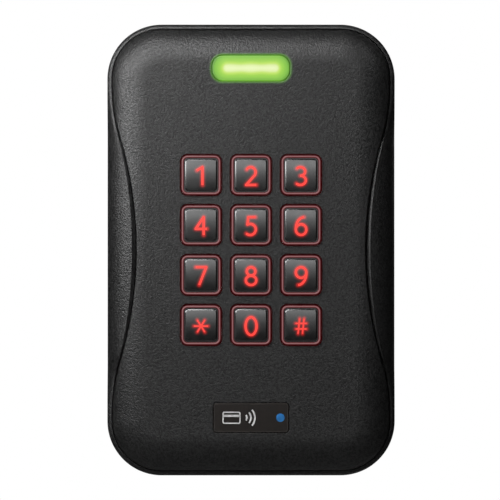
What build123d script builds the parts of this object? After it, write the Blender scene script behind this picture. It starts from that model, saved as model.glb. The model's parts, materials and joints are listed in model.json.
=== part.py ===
"""Keypad access reader for a single-gang wall box, as an assembly of separate pieces, in millimetres.

The reader hangs on a wall: the wall is the plane Y = 0, the front faces -Y and +Z is up.
The origin is on the wall, midway between the two wall-box screws.
A depth is a distance from the wall towards the front, so a sketch at a depth lies on
at_depth(depth): its local x is X, its local y is Z, and it extrudes towards the front.
"""

import os
from math import atan, cos, sin

from build123d import *

# Overall outline, seen from the front
width = 82.6
height = 129.6
corner_radius = 15.6
rim_width = 1.5  # housing rim left showing round the front cover
waist_depth = 8.5  # how far the front cover's waist lies inside the housing's side
waist_share = 0.66  # share of the side curve's two radii that the waist arc takes
straight_side = 1.2  # straight run between the corner and the side curve

# Layers, from the wall to the front
wall_clearance = 0.6  # housing's rear edge to the wall
plate_thickness = 2.0
wiring_depth = 5.0  # free space between the mounting plate and the back cover
back_cover_thickness = 2.0
standoff_height = 1.4
main_board_thickness = 1.2
board_gap = 3.0
keypad_board_thickness = 1.6
switch_stack = 4.8  # keypad board to the inside of the front cover
skin = 2.0  # wall of the front cover
key_stand = 1.4  # key face proud of the front cover

# Front edge: a quarter ellipse rolled off all round
roll_width = 11.5
roll_depth = 8.0

# Housing
side_wall = 2.2
rear_seal_thickness = 0.8
rear_seal_width = 2.0
front_seal_thickness = 0.5
ledge_width = 3.2  # inner ledge that carries the front cover
ledge_thickness = 1.8
wing_wall = 1.8
skirt_wall = 1.8
cover_gap = 0.15
touch_gap = 0.02  # between faces that rest on each other
slip_gap = 0.2

# Keys
key_pitch = 14.3
key_columns = 3
key_rows = 4
key_size = 11.3
key_corner = 1.8
key_gap = 0.25
key_travel = 1.2
flange_overlap = 0.5
flange_thickness = 1.1
rim_drop = 0.4  # key body's rim below the cap's face
cap_margin = 1.0  # key body's edge to the cap
cap_thickness = 1.8
cap_corner = 1.1
cap_bevel = 0.3
rib_thickness = 1.0
opening_bevel = 0.3
legend_height = 6.1
legend_width = 3.95
legend_stroke = 0.95
legend_depth = 0.25

# Silicone keypad mat
mat_sheet = 1.0
mat_margin = 1.2
dome_radius = 5.0
dome_top_radius = 3.6
dome_web = 0.5
dome_cap = 1.2
plunger_radius = 1.9
plunger_clearance = 0.05  # left under the plunger when the key is fully pressed

# Status light and badge
light_width = 22.2
light_height = 7.4
light_corner = 3.0
light_below_top = 12.75
light_flange = 1.1
badge_width = 21.5
badge_height = 8.5
badge_corner = 0.9
badge_above_bottom = 16.8
badge_thickness = 0.4
badge_sink = 0.3

# Fasteners
column_radius = 3.2
column_inset = 6.8  # column axis to the outline, along the corner's diagonal
long_screw_radius = 1.5
long_screw_head = 2.8
small_screw_radius = 0.9
small_screw_head = 1.9
post_radius = 2.4
post_side_gap = 1.8  # outer rib to the post's surface
lock_screw_radius = 1.5
lock_screw_head = 2.4
lock_screw_length = 8.2
lock_screw_depth = 3.6  # screw axis to the wall
lock_counterbore = 2.0
lock_boss_height = 2.0
lock_boss_width = 12.0
lock_boss_front = 6.4
insert_radius = 2.2
insert_length = 6.8

# Mounting plate
box_hole_spacing = 83.3  # single-gang wall box
box_hole_radius = 2.2
cable_opening_width = 46.0
cable_opening_height = 50.0
plate_clearance = 0.8
hook_width = 10.0
hook_spacing = 40.0
hook_arm = 2.2
hook_lip = 2.4
hook_lip_thickness = 1.4
catch_rear = 2.6
catch_thickness = 1.6
catch_reach = 2.8
hook_gap = 0.3

# Electronics
terminal_poles = 10
terminal_pitch = 3.5
terminal_height = 7.6
terminal_z = 20.0
terminal_clear = 0.6  # terminal block's rear face to the mounting plate
coil_width = 1.5
coil_height = 1.0
coil_former_wall = 0.6
coil_corner = 8.0
main_board_margin_x = 8.3
main_board_margin_z = 10.8
keypad_board_margin_z = 8.8
board_corner = 10.0
tamper_aside = 1.5  # tamper sensor to the lower standoff, sideways
tamper_above = 13.0  # and above it
led_height = 0.6

# Derived depths
back_cover_rear = plate_thickness + wiring_depth
back_cover_front = back_cover_rear + back_cover_thickness
rear_seat = back_cover_front + rear_seal_thickness
main_board_rear = back_cover_front + standoff_height
main_board_front = main_board_rear + main_board_thickness
keypad_board_rear = main_board_front + board_gap
keypad_board_front = keypad_board_rear + keypad_board_thickness
skin_inner = keypad_board_front + switch_stack
cover_front = skin_inner + skin
key_face = cover_front + key_stand
ledge_front = keypad_board_rear - 0.1
ledge_rear = ledge_front - ledge_thickness
cover_rear = ledge_front + front_seal_thickness
flange_front = skin_inner - 0.05
flange_rear = flange_front - flange_thickness
dome_top = flange_rear - touch_gap
mat_rear = keypad_board_front + touch_gap
mat_front = mat_rear + mat_sheet

# Derived places
waist_half = width / 2 - waist_depth
waist_reach = height / 2 - corner_radius - straight_side
corner_centre_x = width / 2 - corner_radius
corner_centre_z = height / 2 - corner_radius
diagonal_step = (corner_radius - column_inset) * sin(atan(1))
column_x = corner_centre_x + diagonal_step
column_z = corner_centre_z + diagonal_step
column_places = [(sx * column_x, sz * column_z) for sx in (-1, 1) for sz in (-1, 1)]
grid_half_width = key_columns * key_pitch / 2
grid_half_height = key_rows * key_pitch / 2
post_x = grid_half_width + rib_thickness / 2 + post_side_gap + post_radius
post_places = [(sx * post_x, sz * grid_half_height) for sx in (-1, 1) for sz in (-1, 0, 1)]
keypad_board_width = 2 * (waist_half - skirt_wall - 1.1)
keypad_board_height = height - 2 * keypad_board_margin_z
main_board_width = width - 2 * main_board_margin_x
main_board_height = height - 2 * main_board_margin_z
standoff_x = main_board_width / 2 - board_corner - 0.5
standoff_z = main_board_height / 2 - board_corner - 1.0
standoff_places = [(sx * standoff_x, sz * standoff_z) for sx in (-1, 1) for sz in (-1, 1)]
light_z = height / 2 - light_below_top
badge_z = badge_above_bottom - height / 2
terminal_width = terminal_poles * terminal_pitch + 1.0
terminal_rear = plate_thickness + terminal_clear
tamper_x = -(standoff_x + tamper_aside)
tamper_z = -(standoff_z - tamper_above)
housing_inner_z = height / 2 - side_wall
catch_z = housing_inner_z - catch_reach / 2
catch_front = catch_rear + catch_thickness
hook_rear = catch_front + hook_gap
hook_front = hook_rear + hook_lip_thickness
hook_z = housing_inner_z - catch_reach - 0.4 - hook_arm
lock_boss_top = -housing_inner_z + lock_boss_height
lock_tab_bottom = lock_boss_top + 0.4
lock_tab_top = lock_tab_bottom + insert_length + 0.6
head_seat = -height / 2 + lock_counterbore
coil_outer_x = waist_half - ledge_width - 0.6
coil_outer_z = main_board_height / 2 - 4.0
key_names = ["1", "2", "3", "4", "5", "6", "7", "8", "9", "star", "0", "hash"]

BOTTOM = (Align.CENTER, Align.CENTER, Align.MIN)

os.makedirs("parts", exist_ok=True)


def at_depth(depth, x=0.0, z=0.0):
    """Plane parallel to the wall at this distance in front of it, facing the front."""
    return Plane(origin=(x, -depth, z), x_dir=(1, 0, 0), z_dir=(0, -1, 0))


def facing_wall(depth):
    """Plane parallel to the wall at this distance in front of it, facing the wall."""
    return Plane(origin=(0, -depth, 0), x_dir=(-1, 0, 0), z_dir=(0, 1, 0))


def save(piece, name):
    """Labels a finished piece and writes it as its own STEP file."""
    piece.part.label = name
    export_step(piece.part, f"parts/{name}.step")


def body_outline(margin=0.0, mode=Mode.ADD):
    """Draws the housing's rounded outline, grown by margin, in the open sketch."""
    RectangleRounded(width + 2 * margin, height + 2 * margin, corner_radius + margin, mode=mode)


def waisted_outline(margin=0.0, mode=Mode.ADD):
    """Draws the front cover's waisted outline, grown by margin, in the open sketch."""
    half_width = width / 2 - rim_width + margin
    half_height = height / 2 - rim_width + margin
    radius = corner_radius - rim_width + margin
    turn = 2 * atan((waist_depth - rim_width) / waist_reach)
    waist_radius = waist_share * waist_reach / sin(turn) - margin
    waist_x = waist_half + margin
    bend = (waist_x + waist_radius * (1 - cos(turn)), waist_radius * sin(turn))
    with BuildLine() as outline:
        top = Line((0, half_height), (half_width - radius, half_height))
        corner = TangentArc(top @ 1, (half_width, half_height - radius), tangent=(1, 0))
        side = Line(corner @ 1, (half_width, waist_reach))
        shoulder = TangentArc(side @ 1, bend, tangent=(0, -1))
        TangentArc(bend, (waist_x, 0), tangent=shoulder % 1)
        mirror(about=Plane.XZ)
        mirror(about=Plane.YZ)
    make_face(outline.edges(), mode=mode)


def domed_block(margin, front):
    """Solid with the housing's outline and a front face whose edge rolls off in a quarter ellipse."""
    half_width = width / 2 + margin
    half_height = height / 2 + margin
    roll = roll_width + margin
    spare = 1.0  # offcut outside the block
    edge = front - roll_depth
    section_plane = Plane(origin=(half_width, -edge, 0), x_dir=(-1, 0, 0), z_dir=(0, 0, 1))
    with BuildPart() as block:
        with BuildSketch(at_depth(wall_clearance)):
            body_outline(margin)
        extrude(amount=front - wall_clearance)
        with BuildLine(at_depth(edge)) as rim:
            Polyline(
                (half_width, 0),
                (half_width, half_height),
                (-half_width, half_height),
                (-half_width, -half_height),
                (half_width, -half_height),
                (half_width, 0),
            )
            fillet(rim.vertices(), corner_radius + margin)
        with BuildSketch(section_plane):
            with BuildLine():
                EllipticalCenterArc((roll, 0), roll, roll_depth, start_angle=90, arc_size=90)
                Polyline(
                    (0, 0),
                    (-spare, 0),
                    (-spare, roll_depth + spare),
                    (roll, roll_depth + spare),
                    (roll, roll_depth),
                )
            make_face()
        sweep(path=rim.wires()[0], mode=Mode.SUBTRACT)
    return block.part


def screw(radius, length, head_radius, head_height):
    """Pan-head screw, its head's underside at the origin and its shank along +Z."""
    slot = head_radius * 0.28
    with BuildPart() as made:
        Cylinder(radius, length, align=BOTTOM)
        with BuildSketch(Plane.XY.offset(-head_height)):
            Circle(head_radius)
        extrude(amount=head_height)
        fillet(made.faces().sort_by(Axis.Z)[0].edges(), head_height * 0.4)
        with Locations((0, 0, -head_height)):
            Box(slot, head_radius * 1.2, head_height * 1.2, mode=Mode.SUBTRACT)
            Box(head_radius * 1.2, slot, head_height * 1.2, mode=Mode.SUBTRACT)
    return made.part


def draw_legend(name):
    """Draws the centre lines of one key's legend in the open line."""
    a = (legend_width - legend_stroke) / 2
    b = (legend_height - legend_stroke) / 2
    small = 0.47 * b
    large = 0.53 * b
    if name == "1":
        Polyline((-0.7 * a, 0.55 * b), (0.3 * a, b), (0.3 * a, -b))
    elif name == "2":
        bow = CenterArc((0, b - a), a, 165, -195)
        Polyline(bow @ 1, (-a, -b), (a, -b))
    elif name == "3":
        CenterArc((0, b - small), small, -90, 245)
        CenterArc((0, large - b), large, 90, -245)
    elif name == "4":
        Polyline((0.45 * a, -b), (0.45 * a, b), (-a, -0.35 * b), (a, -0.35 * b))
    elif name == "5":
        bowl = CenterArc((-0.05 * a, a - b), a, 125, -260)
        Polyline(bowl @ 0, (-0.55 * a, b), (0.85 * a, b))
    elif name == "6":
        CenterArc((0, a - b), a, 0, 360)
        ThreePointArc((-a, a - b), (-0.68 * a, 0.35 * b), (0.4 * a, b))
    elif name == "7":
        Polyline((-a, b), (a, b), (-0.35 * a, -b))
    elif name == "8":
        CenterArc((0, b - small), small, 0, 360)
        CenterArc((0, large - b), large, 0, 360)
    elif name == "9":
        CenterArc((0, b - a), a, 0, 360)
        ThreePointArc((a, b - a), (0.68 * a, -0.35 * b), (-0.4 * a, -b))
    elif name == "0":
        over = ThreePointArc((-a, b - a), (0, b), (a, b - a))
        under = ThreePointArc((a, a - b), (0, -b), (-a, a - b))
        Line(over @ 1, under @ 0)
        Line(under @ 1, over @ 0)
    elif name == "star":
        arm = 0.75 * b
        for turn in (0, 60, 120):
            PolarLine((0, 0), arm, turn)
            PolarLine((0, 0), arm, turn + 180)
    elif name == "hash":
        lean = 0.15 * a
        for side in (-0.5 * a, 0.5 * a):
            Line((side - lean, -0.8 * b), (side + lean, 0.8 * b))
        for level in (-0.3 * b, 0.3 * b):
            Line((-1.1 * a, level), (1.1 * a, level))


outer_dome = domed_block(0.0, cover_front)
inner_dome = domed_block(-skin, skin_inner)

# ---- Front cover -------------------------------------------------------------------------

with BuildPart() as cover_hollow:
    with BuildSketch(at_depth(cover_rear - 1.0)):
        waisted_outline(-skirt_wall)
    extrude(amount=cover_front - cover_rear)
    add(inner_dome, mode=Mode.INTERSECT)

with BuildPart() as front_cover:
    with BuildSketch(at_depth(cover_rear)):
        waisted_outline()
    extrude(amount=cover_front - cover_rear)
    add(cover_hollow.part, mode=Mode.SUBTRACT)
    with BuildSketch(at_depth(ledge_front + touch_gap)):
        with Locations(*column_places):
            Circle(column_radius)
    extrude(amount=skin_inner - ledge_front)
    with BuildSketch(at_depth(keypad_board_front + touch_gap)):
        with Locations(*post_places):
            Circle(post_radius)
    extrude(amount=switch_stack)
    # Ribs between the keys press the mat onto its board
    with BuildSketch(at_depth(mat_front + touch_gap)):
        with GridLocations(key_pitch, 0, key_columns + 1, 1):
            Rectangle(rib_thickness, 2 * grid_half_height + rib_thickness)
        with GridLocations(0, key_pitch, 1, key_rows + 1):
            Rectangle(2 * grid_half_width + rib_thickness, rib_thickness)
    extrude(amount=skin_inner - mat_front)
    add(outer_dome, mode=Mode.INTERSECT)
    with BuildSketch(at_depth(skin_inner - 1.0)):
        with GridLocations(key_pitch, key_pitch, key_columns, key_rows):
            RectangleRounded(
                key_size + 2 * key_gap, key_size + 2 * key_gap, key_corner + key_gap
            )
        with Locations((0, light_z)):
            RectangleRounded(
                light_width + 2 * cover_gap, light_height + 2 * cover_gap, light_corner + cover_gap
            )
    extrude(amount=skin + 2.0, mode=Mode.SUBTRACT)
    front_face = front_cover.faces().sort_by(Axis.Y)[0]
    key_openings = [
        wire for wire in front_face.inner_wires() if wire.bounding_box().size.Z < key_pitch
    ]
    chamfer(ShapeList(e for w in key_openings for e in w.edges()), opening_bevel)
    with BuildSketch(at_depth(cover_front)):
        with Locations((0, badge_z)):
            RectangleRounded(
                badge_width + 2 * cover_gap, badge_height + 2 * cover_gap, badge_corner + cover_gap
            )
    extrude(amount=-badge_sink, mode=Mode.SUBTRACT)
    with BuildSketch(at_depth(ledge_front)):
        with Locations(*column_places):
            Circle(long_screw_radius + touch_gap)
    extrude(amount=4.4, mode=Mode.SUBTRACT)
    with BuildSketch(at_depth(keypad_board_front)):
        with Locations(*post_places):
            Circle(small_screw_radius + touch_gap)
    extrude(amount=3.6, mode=Mode.SUBTRACT)
save(front_cover, "front_cover")

# ---- Housing -----------------------------------------------------------------------------

with BuildPart() as wing_hollows:
    with BuildSketch(at_depth(ledge_rear - touch_gap)):
        body_outline(-side_wall)
        waisted_outline(cover_gap + wing_wall, mode=Mode.SUBTRACT)
    extrude(amount=cover_front - ledge_rear)
    add(inner_dome, mode=Mode.INTERSECT)

with BuildPart() as housing:
    add(outer_dome)
    with BuildSketch(at_depth(0)):
        body_outline(-side_wall)
    extrude(amount=rear_seat, mode=Mode.SUBTRACT)
    with BuildSketch(at_depth(rear_seat)):
        body_outline(-side_wall - rear_seal_width)
    extrude(amount=ledge_rear - rear_seat, mode=Mode.SUBTRACT)
    with BuildSketch(at_depth(ledge_rear)):
        waisted_outline(-ledge_width)
        # Where the waist comes close, the ledge gives way to the keypad board's screw heads
        with Locations(*post_places):
            Circle(small_screw_head + slip_gap)
    extrude(amount=ledge_thickness, mode=Mode.SUBTRACT)
    with BuildSketch(at_depth(ledge_front)):
        waisted_outline(cover_gap)
    extrude(amount=cover_front, mode=Mode.SUBTRACT)
    add(wing_hollows.part, mode=Mode.SUBTRACT)
    with BuildSketch(at_depth(rear_seat)):
        with Locations(*column_places):
            Circle(column_radius)
    extrude(amount=ledge_front - rear_seat)
    with BuildSketch(at_depth(0)):
        with Locations(*column_places):
            Circle(long_screw_radius + slip_gap)
    extrude(amount=ledge_front + touch_gap, mode=Mode.SUBTRACT)
    # Two catches under the top wall drop behind the mounting plate's hooks
    with BuildSketch(at_depth(catch_rear, 0, catch_z)):
        with GridLocations(hook_spacing, 0, 2, 1):
            Rectangle(hook_width, catch_reach)
    extrude(amount=catch_thickness)
    # The security screw passes up through a boss in the bottom wall
    with BuildSketch(at_depth(wall_clearance, 0, (lock_boss_top - height / 2) / 2)):
        Rectangle(lock_boss_width, lock_boss_top + height / 2)
    extrude(amount=lock_boss_front - wall_clearance)
    with Locations((0, -lock_screw_depth, -height / 2)):
        Cylinder(
            lock_screw_head + slip_gap, lock_counterbore, align=BOTTOM, mode=Mode.SUBTRACT
        )
        Cylinder(lock_screw_radius + slip_gap, height / 8, align=BOTTOM, mode=Mode.SUBTRACT)
save(housing, "housing")

# ---- Back cover, its gasket and the front cover's seal -----------------------------------

with BuildPart() as back_cover:
    with BuildSketch(at_depth(back_cover_rear)):
        body_outline(-side_wall - slip_gap)
    extrude(amount=back_cover_thickness)
    with BuildSketch(at_depth(back_cover_front)):
        with Locations(*standoff_places):
            Circle(post_radius)
    extrude(amount=standoff_height - touch_gap)
    with BuildSketch(at_depth(back_cover_rear)):
        with Locations(*column_places):
            Circle(long_screw_radius + slip_gap)
        with Locations((0, terminal_z)):
            RectangleRounded(terminal_width + 2.4, terminal_height + 2.4, 1.0)
        with Locations((tamper_x, tamper_z)):
            Circle(2.0)
    extrude(amount=back_cover_thickness, mode=Mode.SUBTRACT)
    with BuildSketch(at_depth(back_cover_rear + 0.4)):
        with Locations(*standoff_places):
            Circle(small_screw_radius + touch_gap)
    extrude(amount=main_board_rear, mode=Mode.SUBTRACT)
save(back_cover, "back_cover")

with BuildPart() as cover_gasket:
    with BuildSketch(at_depth(back_cover_front + touch_gap)):
        body_outline(-side_wall - slip_gap)
        body_outline(-side_wall - rear_seal_width, mode=Mode.SUBTRACT)
        with Locations(*column_places):
            Circle(column_radius)
            Circle(long_screw_radius + slip_gap, mode=Mode.SUBTRACT)
    extrude(amount=rear_seal_thickness - 2 * touch_gap)
save(cover_gasket, "cover_gasket")

with BuildPart() as front_cover_seal:
    with BuildSketch(at_depth(ledge_front + touch_gap)):
        waisted_outline(-slip_gap / 2)
        waisted_outline(-skirt_wall, mode=Mode.SUBTRACT)
    extrude(amount=front_seal_thickness - 2 * touch_gap)
save(front_cover_seal, "front_cover_seal")

with BuildPart(at_depth(back_cover_rear - touch_gap)) as cover_screws:
    with Locations(*column_places):
        add(screw(long_screw_radius, ledge_front - back_cover_rear + 4.2, long_screw_head, 1.6))
save(cover_screws, "cover_screws")

# ---- Mounting plate and its lock ---------------------------------------------------------

with BuildPart() as mounting_plate:
    with BuildSketch(at_depth(0)):
        body_outline(-side_wall - plate_clearance)
        RectangleRounded(
            cable_opening_width, cable_opening_height, 4.0, mode=Mode.SUBTRACT
        )
        with GridLocations(0, box_hole_spacing, 1, 2):
            Circle(box_hole_radius, mode=Mode.SUBTRACT)
        with Locations((0, -height / 2)):
            Rectangle(
                lock_boss_width + 1.2, 2 * (lock_tab_bottom + height / 2), mode=Mode.SUBTRACT
            )
    extrude(amount=plate_thickness)
    with BuildSketch(at_depth(0, 0, (lock_tab_bottom + lock_tab_top) / 2)):
        Rectangle(lock_boss_width, lock_tab_top - lock_tab_bottom)
    extrude(amount=lock_boss_front)
    with BuildSketch(at_depth(plate_thickness, 0, hook_z + hook_arm / 2)):
        with GridLocations(hook_spacing, 0, 2, 1):
            Rectangle(hook_width - 0.6, hook_arm)
    extrude(amount=hook_front - plate_thickness)
    with BuildSketch(at_depth(hook_rear, 0, hook_z + (hook_arm + hook_lip) / 2)):
        with GridLocations(hook_spacing, 0, 2, 1):
            Rectangle(hook_width - 0.6, hook_arm + hook_lip)
    extrude(amount=hook_lip_thickness)
    with Locations((0, -lock_screw_depth, lock_tab_bottom)):
        Cylinder(insert_radius + touch_gap, height / 12, align=BOTTOM, mode=Mode.SUBTRACT)
save(mounting_plate, "mounting_plate")

with BuildPart() as plate_insert:
    with Locations((0, -lock_screw_depth, lock_tab_bottom)):
        Cylinder(insert_radius, insert_length, align=BOTTOM)
        Cylinder(
            lock_screw_radius + touch_gap, insert_length, align=BOTTOM, mode=Mode.SUBTRACT
        )
save(plate_insert, "plate_insert")

with BuildPart() as security_screw:
    with Locations((0, -lock_screw_depth, head_seat)):
        add(screw(lock_screw_radius, lock_screw_length, lock_screw_head, 1.6))
save(security_screw, "security_screw")

# ---- Main board and what it carries ------------------------------------------------------

with BuildPart() as main_board:
    with BuildSketch(at_depth(main_board_rear)):
        RectangleRounded(main_board_width, main_board_height, board_corner)
        with Locations(*standoff_places):
            Circle(small_screw_radius + 0.2, mode=Mode.SUBTRACT)
    extrude(amount=main_board_thickness)
save(main_board, "main_board")

with BuildPart(facing_wall(main_board_front + touch_gap)) as main_board_screws:
    with Locations(*standoff_places):
        add(screw(small_screw_radius, 4.1, small_screw_head, 1.0))
save(main_board_screws, "main_board_screws")

with BuildPart() as coil_former:
    with BuildSketch(at_depth(main_board_front + touch_gap)):
        RectangleRounded(2 * coil_outer_x, 2 * coil_outer_z, coil_corner)
        RectangleRounded(
            2 * (coil_outer_x - coil_width - coil_former_wall),
            2 * (coil_outer_z - coil_width - coil_former_wall),
            coil_corner - coil_width - coil_former_wall,
            mode=Mode.SUBTRACT,
        )
    extrude(amount=coil_former_wall + coil_height)
    with BuildSketch(at_depth(main_board_front + touch_gap + coil_former_wall)):
        RectangleRounded(2 * coil_outer_x + 1, 2 * coil_outer_z + 1, coil_corner + 0.5)
        RectangleRounded(
            2 * (coil_outer_x - coil_width),
            2 * (coil_outer_z - coil_width),
            coil_corner - coil_width,
            mode=Mode.SUBTRACT,
        )
    extrude(amount=coil_height + 1, mode=Mode.SUBTRACT)
save(coil_former, "coil_former")

with BuildPart() as antenna_coil:
    with BuildSketch(at_depth(main_board_front + 2 * touch_gap + coil_former_wall)):
        RectangleRounded(2 * coil_outer_x, 2 * coil_outer_z, coil_corner)
        RectangleRounded(
            2 * (coil_outer_x - coil_width + touch_gap),
            2 * (coil_outer_z - coil_width + touch_gap),
            coil_corner - coil_width + touch_gap,
            mode=Mode.SUBTRACT,
        )
    extrude(amount=coil_height)
save(antenna_coil, "antenna_coil")

with BuildPart() as shield_can:
    with BuildSketch(at_depth(main_board_front + touch_gap, 0, 27)):
        RectangleRounded(24, 18, 0.8)
    extrude(amount=2.0)
    with BuildSketch(at_depth(main_board_front, 0, 27)):
        RectangleRounded(23.4, 17.4, 0.5)
    extrude(amount=1.7, mode=Mode.SUBTRACT)
save(shield_can, "shield_can")

with BuildPart() as logic_chips:
    for x, z, size_x, size_z, thickness in (
        (0, 27, 8.0, 8.0, 0.9),
        (-12, 6, 7.0, 7.0, 1.0),
        (10, 5, 5.0, 6.2, 1.4),
        (-13, -14, 3.9, 4.9, 1.4),
        (-12, -30, 6.6, 9.0, 1.6),
    ):
        with Locations(at_depth(main_board_front + touch_gap, x, z)):
            Box(size_x, size_z, thickness, align=BOTTOM)
save(logic_chips, "logic_chips")

with BuildPart() as buzzer:
    with BuildSketch(at_depth(main_board_front + touch_gap, 12, -27)):
        Circle(5.6)
    extrude(amount=2.4)
    with BuildSketch(at_depth(main_board_front + 1.4, 12, -27)):
        Circle(0.9)
    extrude(amount=2.0, mode=Mode.SUBTRACT)
save(buzzer, "buzzer")

with BuildPart() as board_link_header:
    with BuildSketch(at_depth(main_board_front + touch_gap, 0, -42)):
        Rectangle(18.0, 5.0)
    extrude(amount=1.7)
    with BuildSketch(at_depth(main_board_front + 0.5, 0, -42)):
        Rectangle(15.6, 2.6)
    extrude(amount=2.0, mode=Mode.SUBTRACT)
save(board_link_header, "board_link_header")

with BuildPart() as board_link_socket:
    with BuildSketch(at_depth(main_board_front + 0.6, 0, -42)):
        Rectangle(15.2, 2.2)
    extrude(amount=board_gap - 0.6 - touch_gap)
    with BuildSketch(at_depth(main_board_front + 2.0, 0, -42)):
        Rectangle(18.0, 5.0)
    extrude(amount=board_gap - 2.0 - touch_gap)
save(board_link_socket, "board_link_socket")

# ---- Terminal block, at the rear of the main board ---------------------------------------

entry_depth = terminal_rear + 3.2
pole_places = [(i - (terminal_poles - 1) / 2) * terminal_pitch for i in range(terminal_poles)]

with BuildPart() as terminal_block:
    with BuildSketch(at_depth(terminal_rear, 0, terminal_z)):
        Rectangle(terminal_width, terminal_height)
    extrude(amount=main_board_rear - terminal_rear - touch_gap)
    chamfer(terminal_block.faces().sort_by(Axis.Y)[-1].edges(), 0.4)
    for x in pole_places:
        with Locations((x, -entry_depth, terminal_z - terminal_height / 2)):
            Box(2.5, 2.5, 9.0, mode=Mode.SUBTRACT)
        with Locations((x, -terminal_rear, terminal_z + 0.6)):
            Cylinder(1.35, 5.0, rotation=(90, 0, 0), mode=Mode.SUBTRACT)
save(terminal_block, "terminal_block")

with BuildPart(at_depth(terminal_rear + 0.3, 0, terminal_z + 0.6)) as terminal_screws:
    with Locations(*[(x, 0) for x in pole_places]):
        Cylinder(1.25, 1.6, align=BOTTOM)
        Box(0.45, 2.0, 1.0, mode=Mode.SUBTRACT)
save(terminal_screws, "terminal_screws")

with BuildPart() as terminal_seal:
    with BuildSketch(at_depth(back_cover_rear, 0, terminal_z)):
        RectangleRounded(terminal_width + 2.3, terminal_height + 2.3, 0.95)
        Rectangle(terminal_width + 0.1, terminal_height + 0.1, mode=Mode.SUBTRACT)
    extrude(amount=back_cover_thickness)
save(terminal_seal, "terminal_seal")

with BuildPart() as tamper_sensor:
    with BuildSketch(at_depth(main_board_rear - 1.2, tamper_x, tamper_z)):
        Rectangle(5.0, 3.6)
    extrude(amount=1.2 - touch_gap)
save(tamper_sensor, "tamper_sensor")

with BuildPart() as tamper_window:
    with BuildSketch(at_depth(back_cover_rear, tamper_x, tamper_z)):
        Circle(2.0 - touch_gap)
    extrude(amount=back_cover_thickness)
save(tamper_window, "tamper_window")

# ---- Keypad board and what it carries ----------------------------------------------------

with BuildPart() as keypad_board:
    with BuildSketch(at_depth(keypad_board_rear)):
        RectangleRounded(keypad_board_width, keypad_board_height, board_corner)
        with Locations(*post_places):
            Circle(small_screw_radius + 0.2, mode=Mode.SUBTRACT)
    extrude(amount=keypad_board_thickness)
save(keypad_board, "keypad_board")

with BuildPart(at_depth(keypad_board_rear - touch_gap)) as keypad_board_screws:
    with Locations(*post_places):
        add(screw(small_screw_radius, keypad_board_thickness + 3.4, small_screw_head, 1.0))
save(keypad_board_screws, "keypad_board_screws")

with BuildPart(at_depth(keypad_board_front + touch_gap)) as backlight_leds:
    with GridLocations(key_pitch, key_pitch, key_columns, key_rows):
        with GridLocations(6.2, 0, 2, 1):
            Box(0.9, 1.6, led_height, align=BOTTOM)
save(backlight_leds, "backlight_leds")

with BuildPart(at_depth(keypad_board_front + touch_gap, 0, light_z)) as status_leds:
    with GridLocations(5.0, 0, 4, 1):
        Box(2.0, 1.2, led_height, align=BOTTOM)
save(status_leds, "status_leds")

mat_top_radius = dome_top_radius - dome_web
dome_inner_height = dome_top - dome_cap - mat_rear
dome_slope = (dome_radius - dome_top_radius) / (dome_top - mat_rear)

with BuildPart(at_depth(mat_rear)) as keypad_mat:
    Box(
        2 * (grid_half_width + rib_thickness / 2 + mat_margin),
        2 * (grid_half_height + rib_thickness / 2 + mat_margin),
        mat_sheet,
        align=BOTTOM,
    )
    fillet(keypad_mat.edges().filter_by(Axis.Y), 2.0)
    with GridLocations(key_pitch, key_pitch, key_columns, key_rows):
        Cone(dome_radius, dome_top_radius, dome_top - mat_rear, align=BOTTOM)
        Cone(
            dome_radius - dome_web,
            dome_radius - dome_web - dome_slope * dome_inner_height,
            dome_inner_height,
            align=BOTTOM,
            mode=Mode.SUBTRACT,
        )
    with BuildSketch(at_depth(keypad_board_front + key_travel + plunger_clearance)):
        with GridLocations(key_pitch, key_pitch, key_columns, key_rows):
            Circle(plunger_radius)
    extrude(amount=dome_top - keypad_board_front - key_travel - 2 * plunger_clearance)
save(keypad_mat, "keypad_mat")

# ---- Status light and badge --------------------------------------------------------------

lens_rear = skin_inner - 1.8
lens_seat = lens_rear + 1.0

with BuildPart() as status_lens:
    with BuildSketch(at_depth(lens_rear, 0, light_z)):
        RectangleRounded(light_width, light_height, light_corner)
    extrude(amount=skin + 2.0)
    with BuildSketch(at_depth(lens_rear, 0, light_z)):
        RectangleRounded(
            light_width + 2 * light_flange, light_height + 2 * light_flange, light_corner
        )
    extrude(amount=lens_seat - lens_rear)
    add(outer_dome, mode=Mode.INTERSECT)
save(status_lens, "status_lens")

with BuildPart() as status_light_guide:
    with BuildSketch(at_depth(keypad_board_front + led_height + 0.2, 0, light_z)):
        RectangleRounded(light_width - 1.4, light_height - 2.0, 2.0)
    extrude(amount=lens_rear - keypad_board_front - led_height - 0.2 - touch_gap)
save(status_light_guide, "status_light_guide")

with BuildPart() as badge:
    with BuildSketch(at_depth(cover_front - badge_sink + touch_gap, 0, badge_z)):
        RectangleRounded(badge_width, badge_height, badge_corner)
    extrude(amount=badge_thickness)
save(badge, "badge")

# ---- Keys --------------------------------------------------------------------------------

flange_size = key_size + 2 * (key_gap + flange_overlap)
cap_size = key_size - 2 * cap_margin
rim_front = key_face - rim_drop
cap_rear = key_face - cap_thickness

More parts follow.
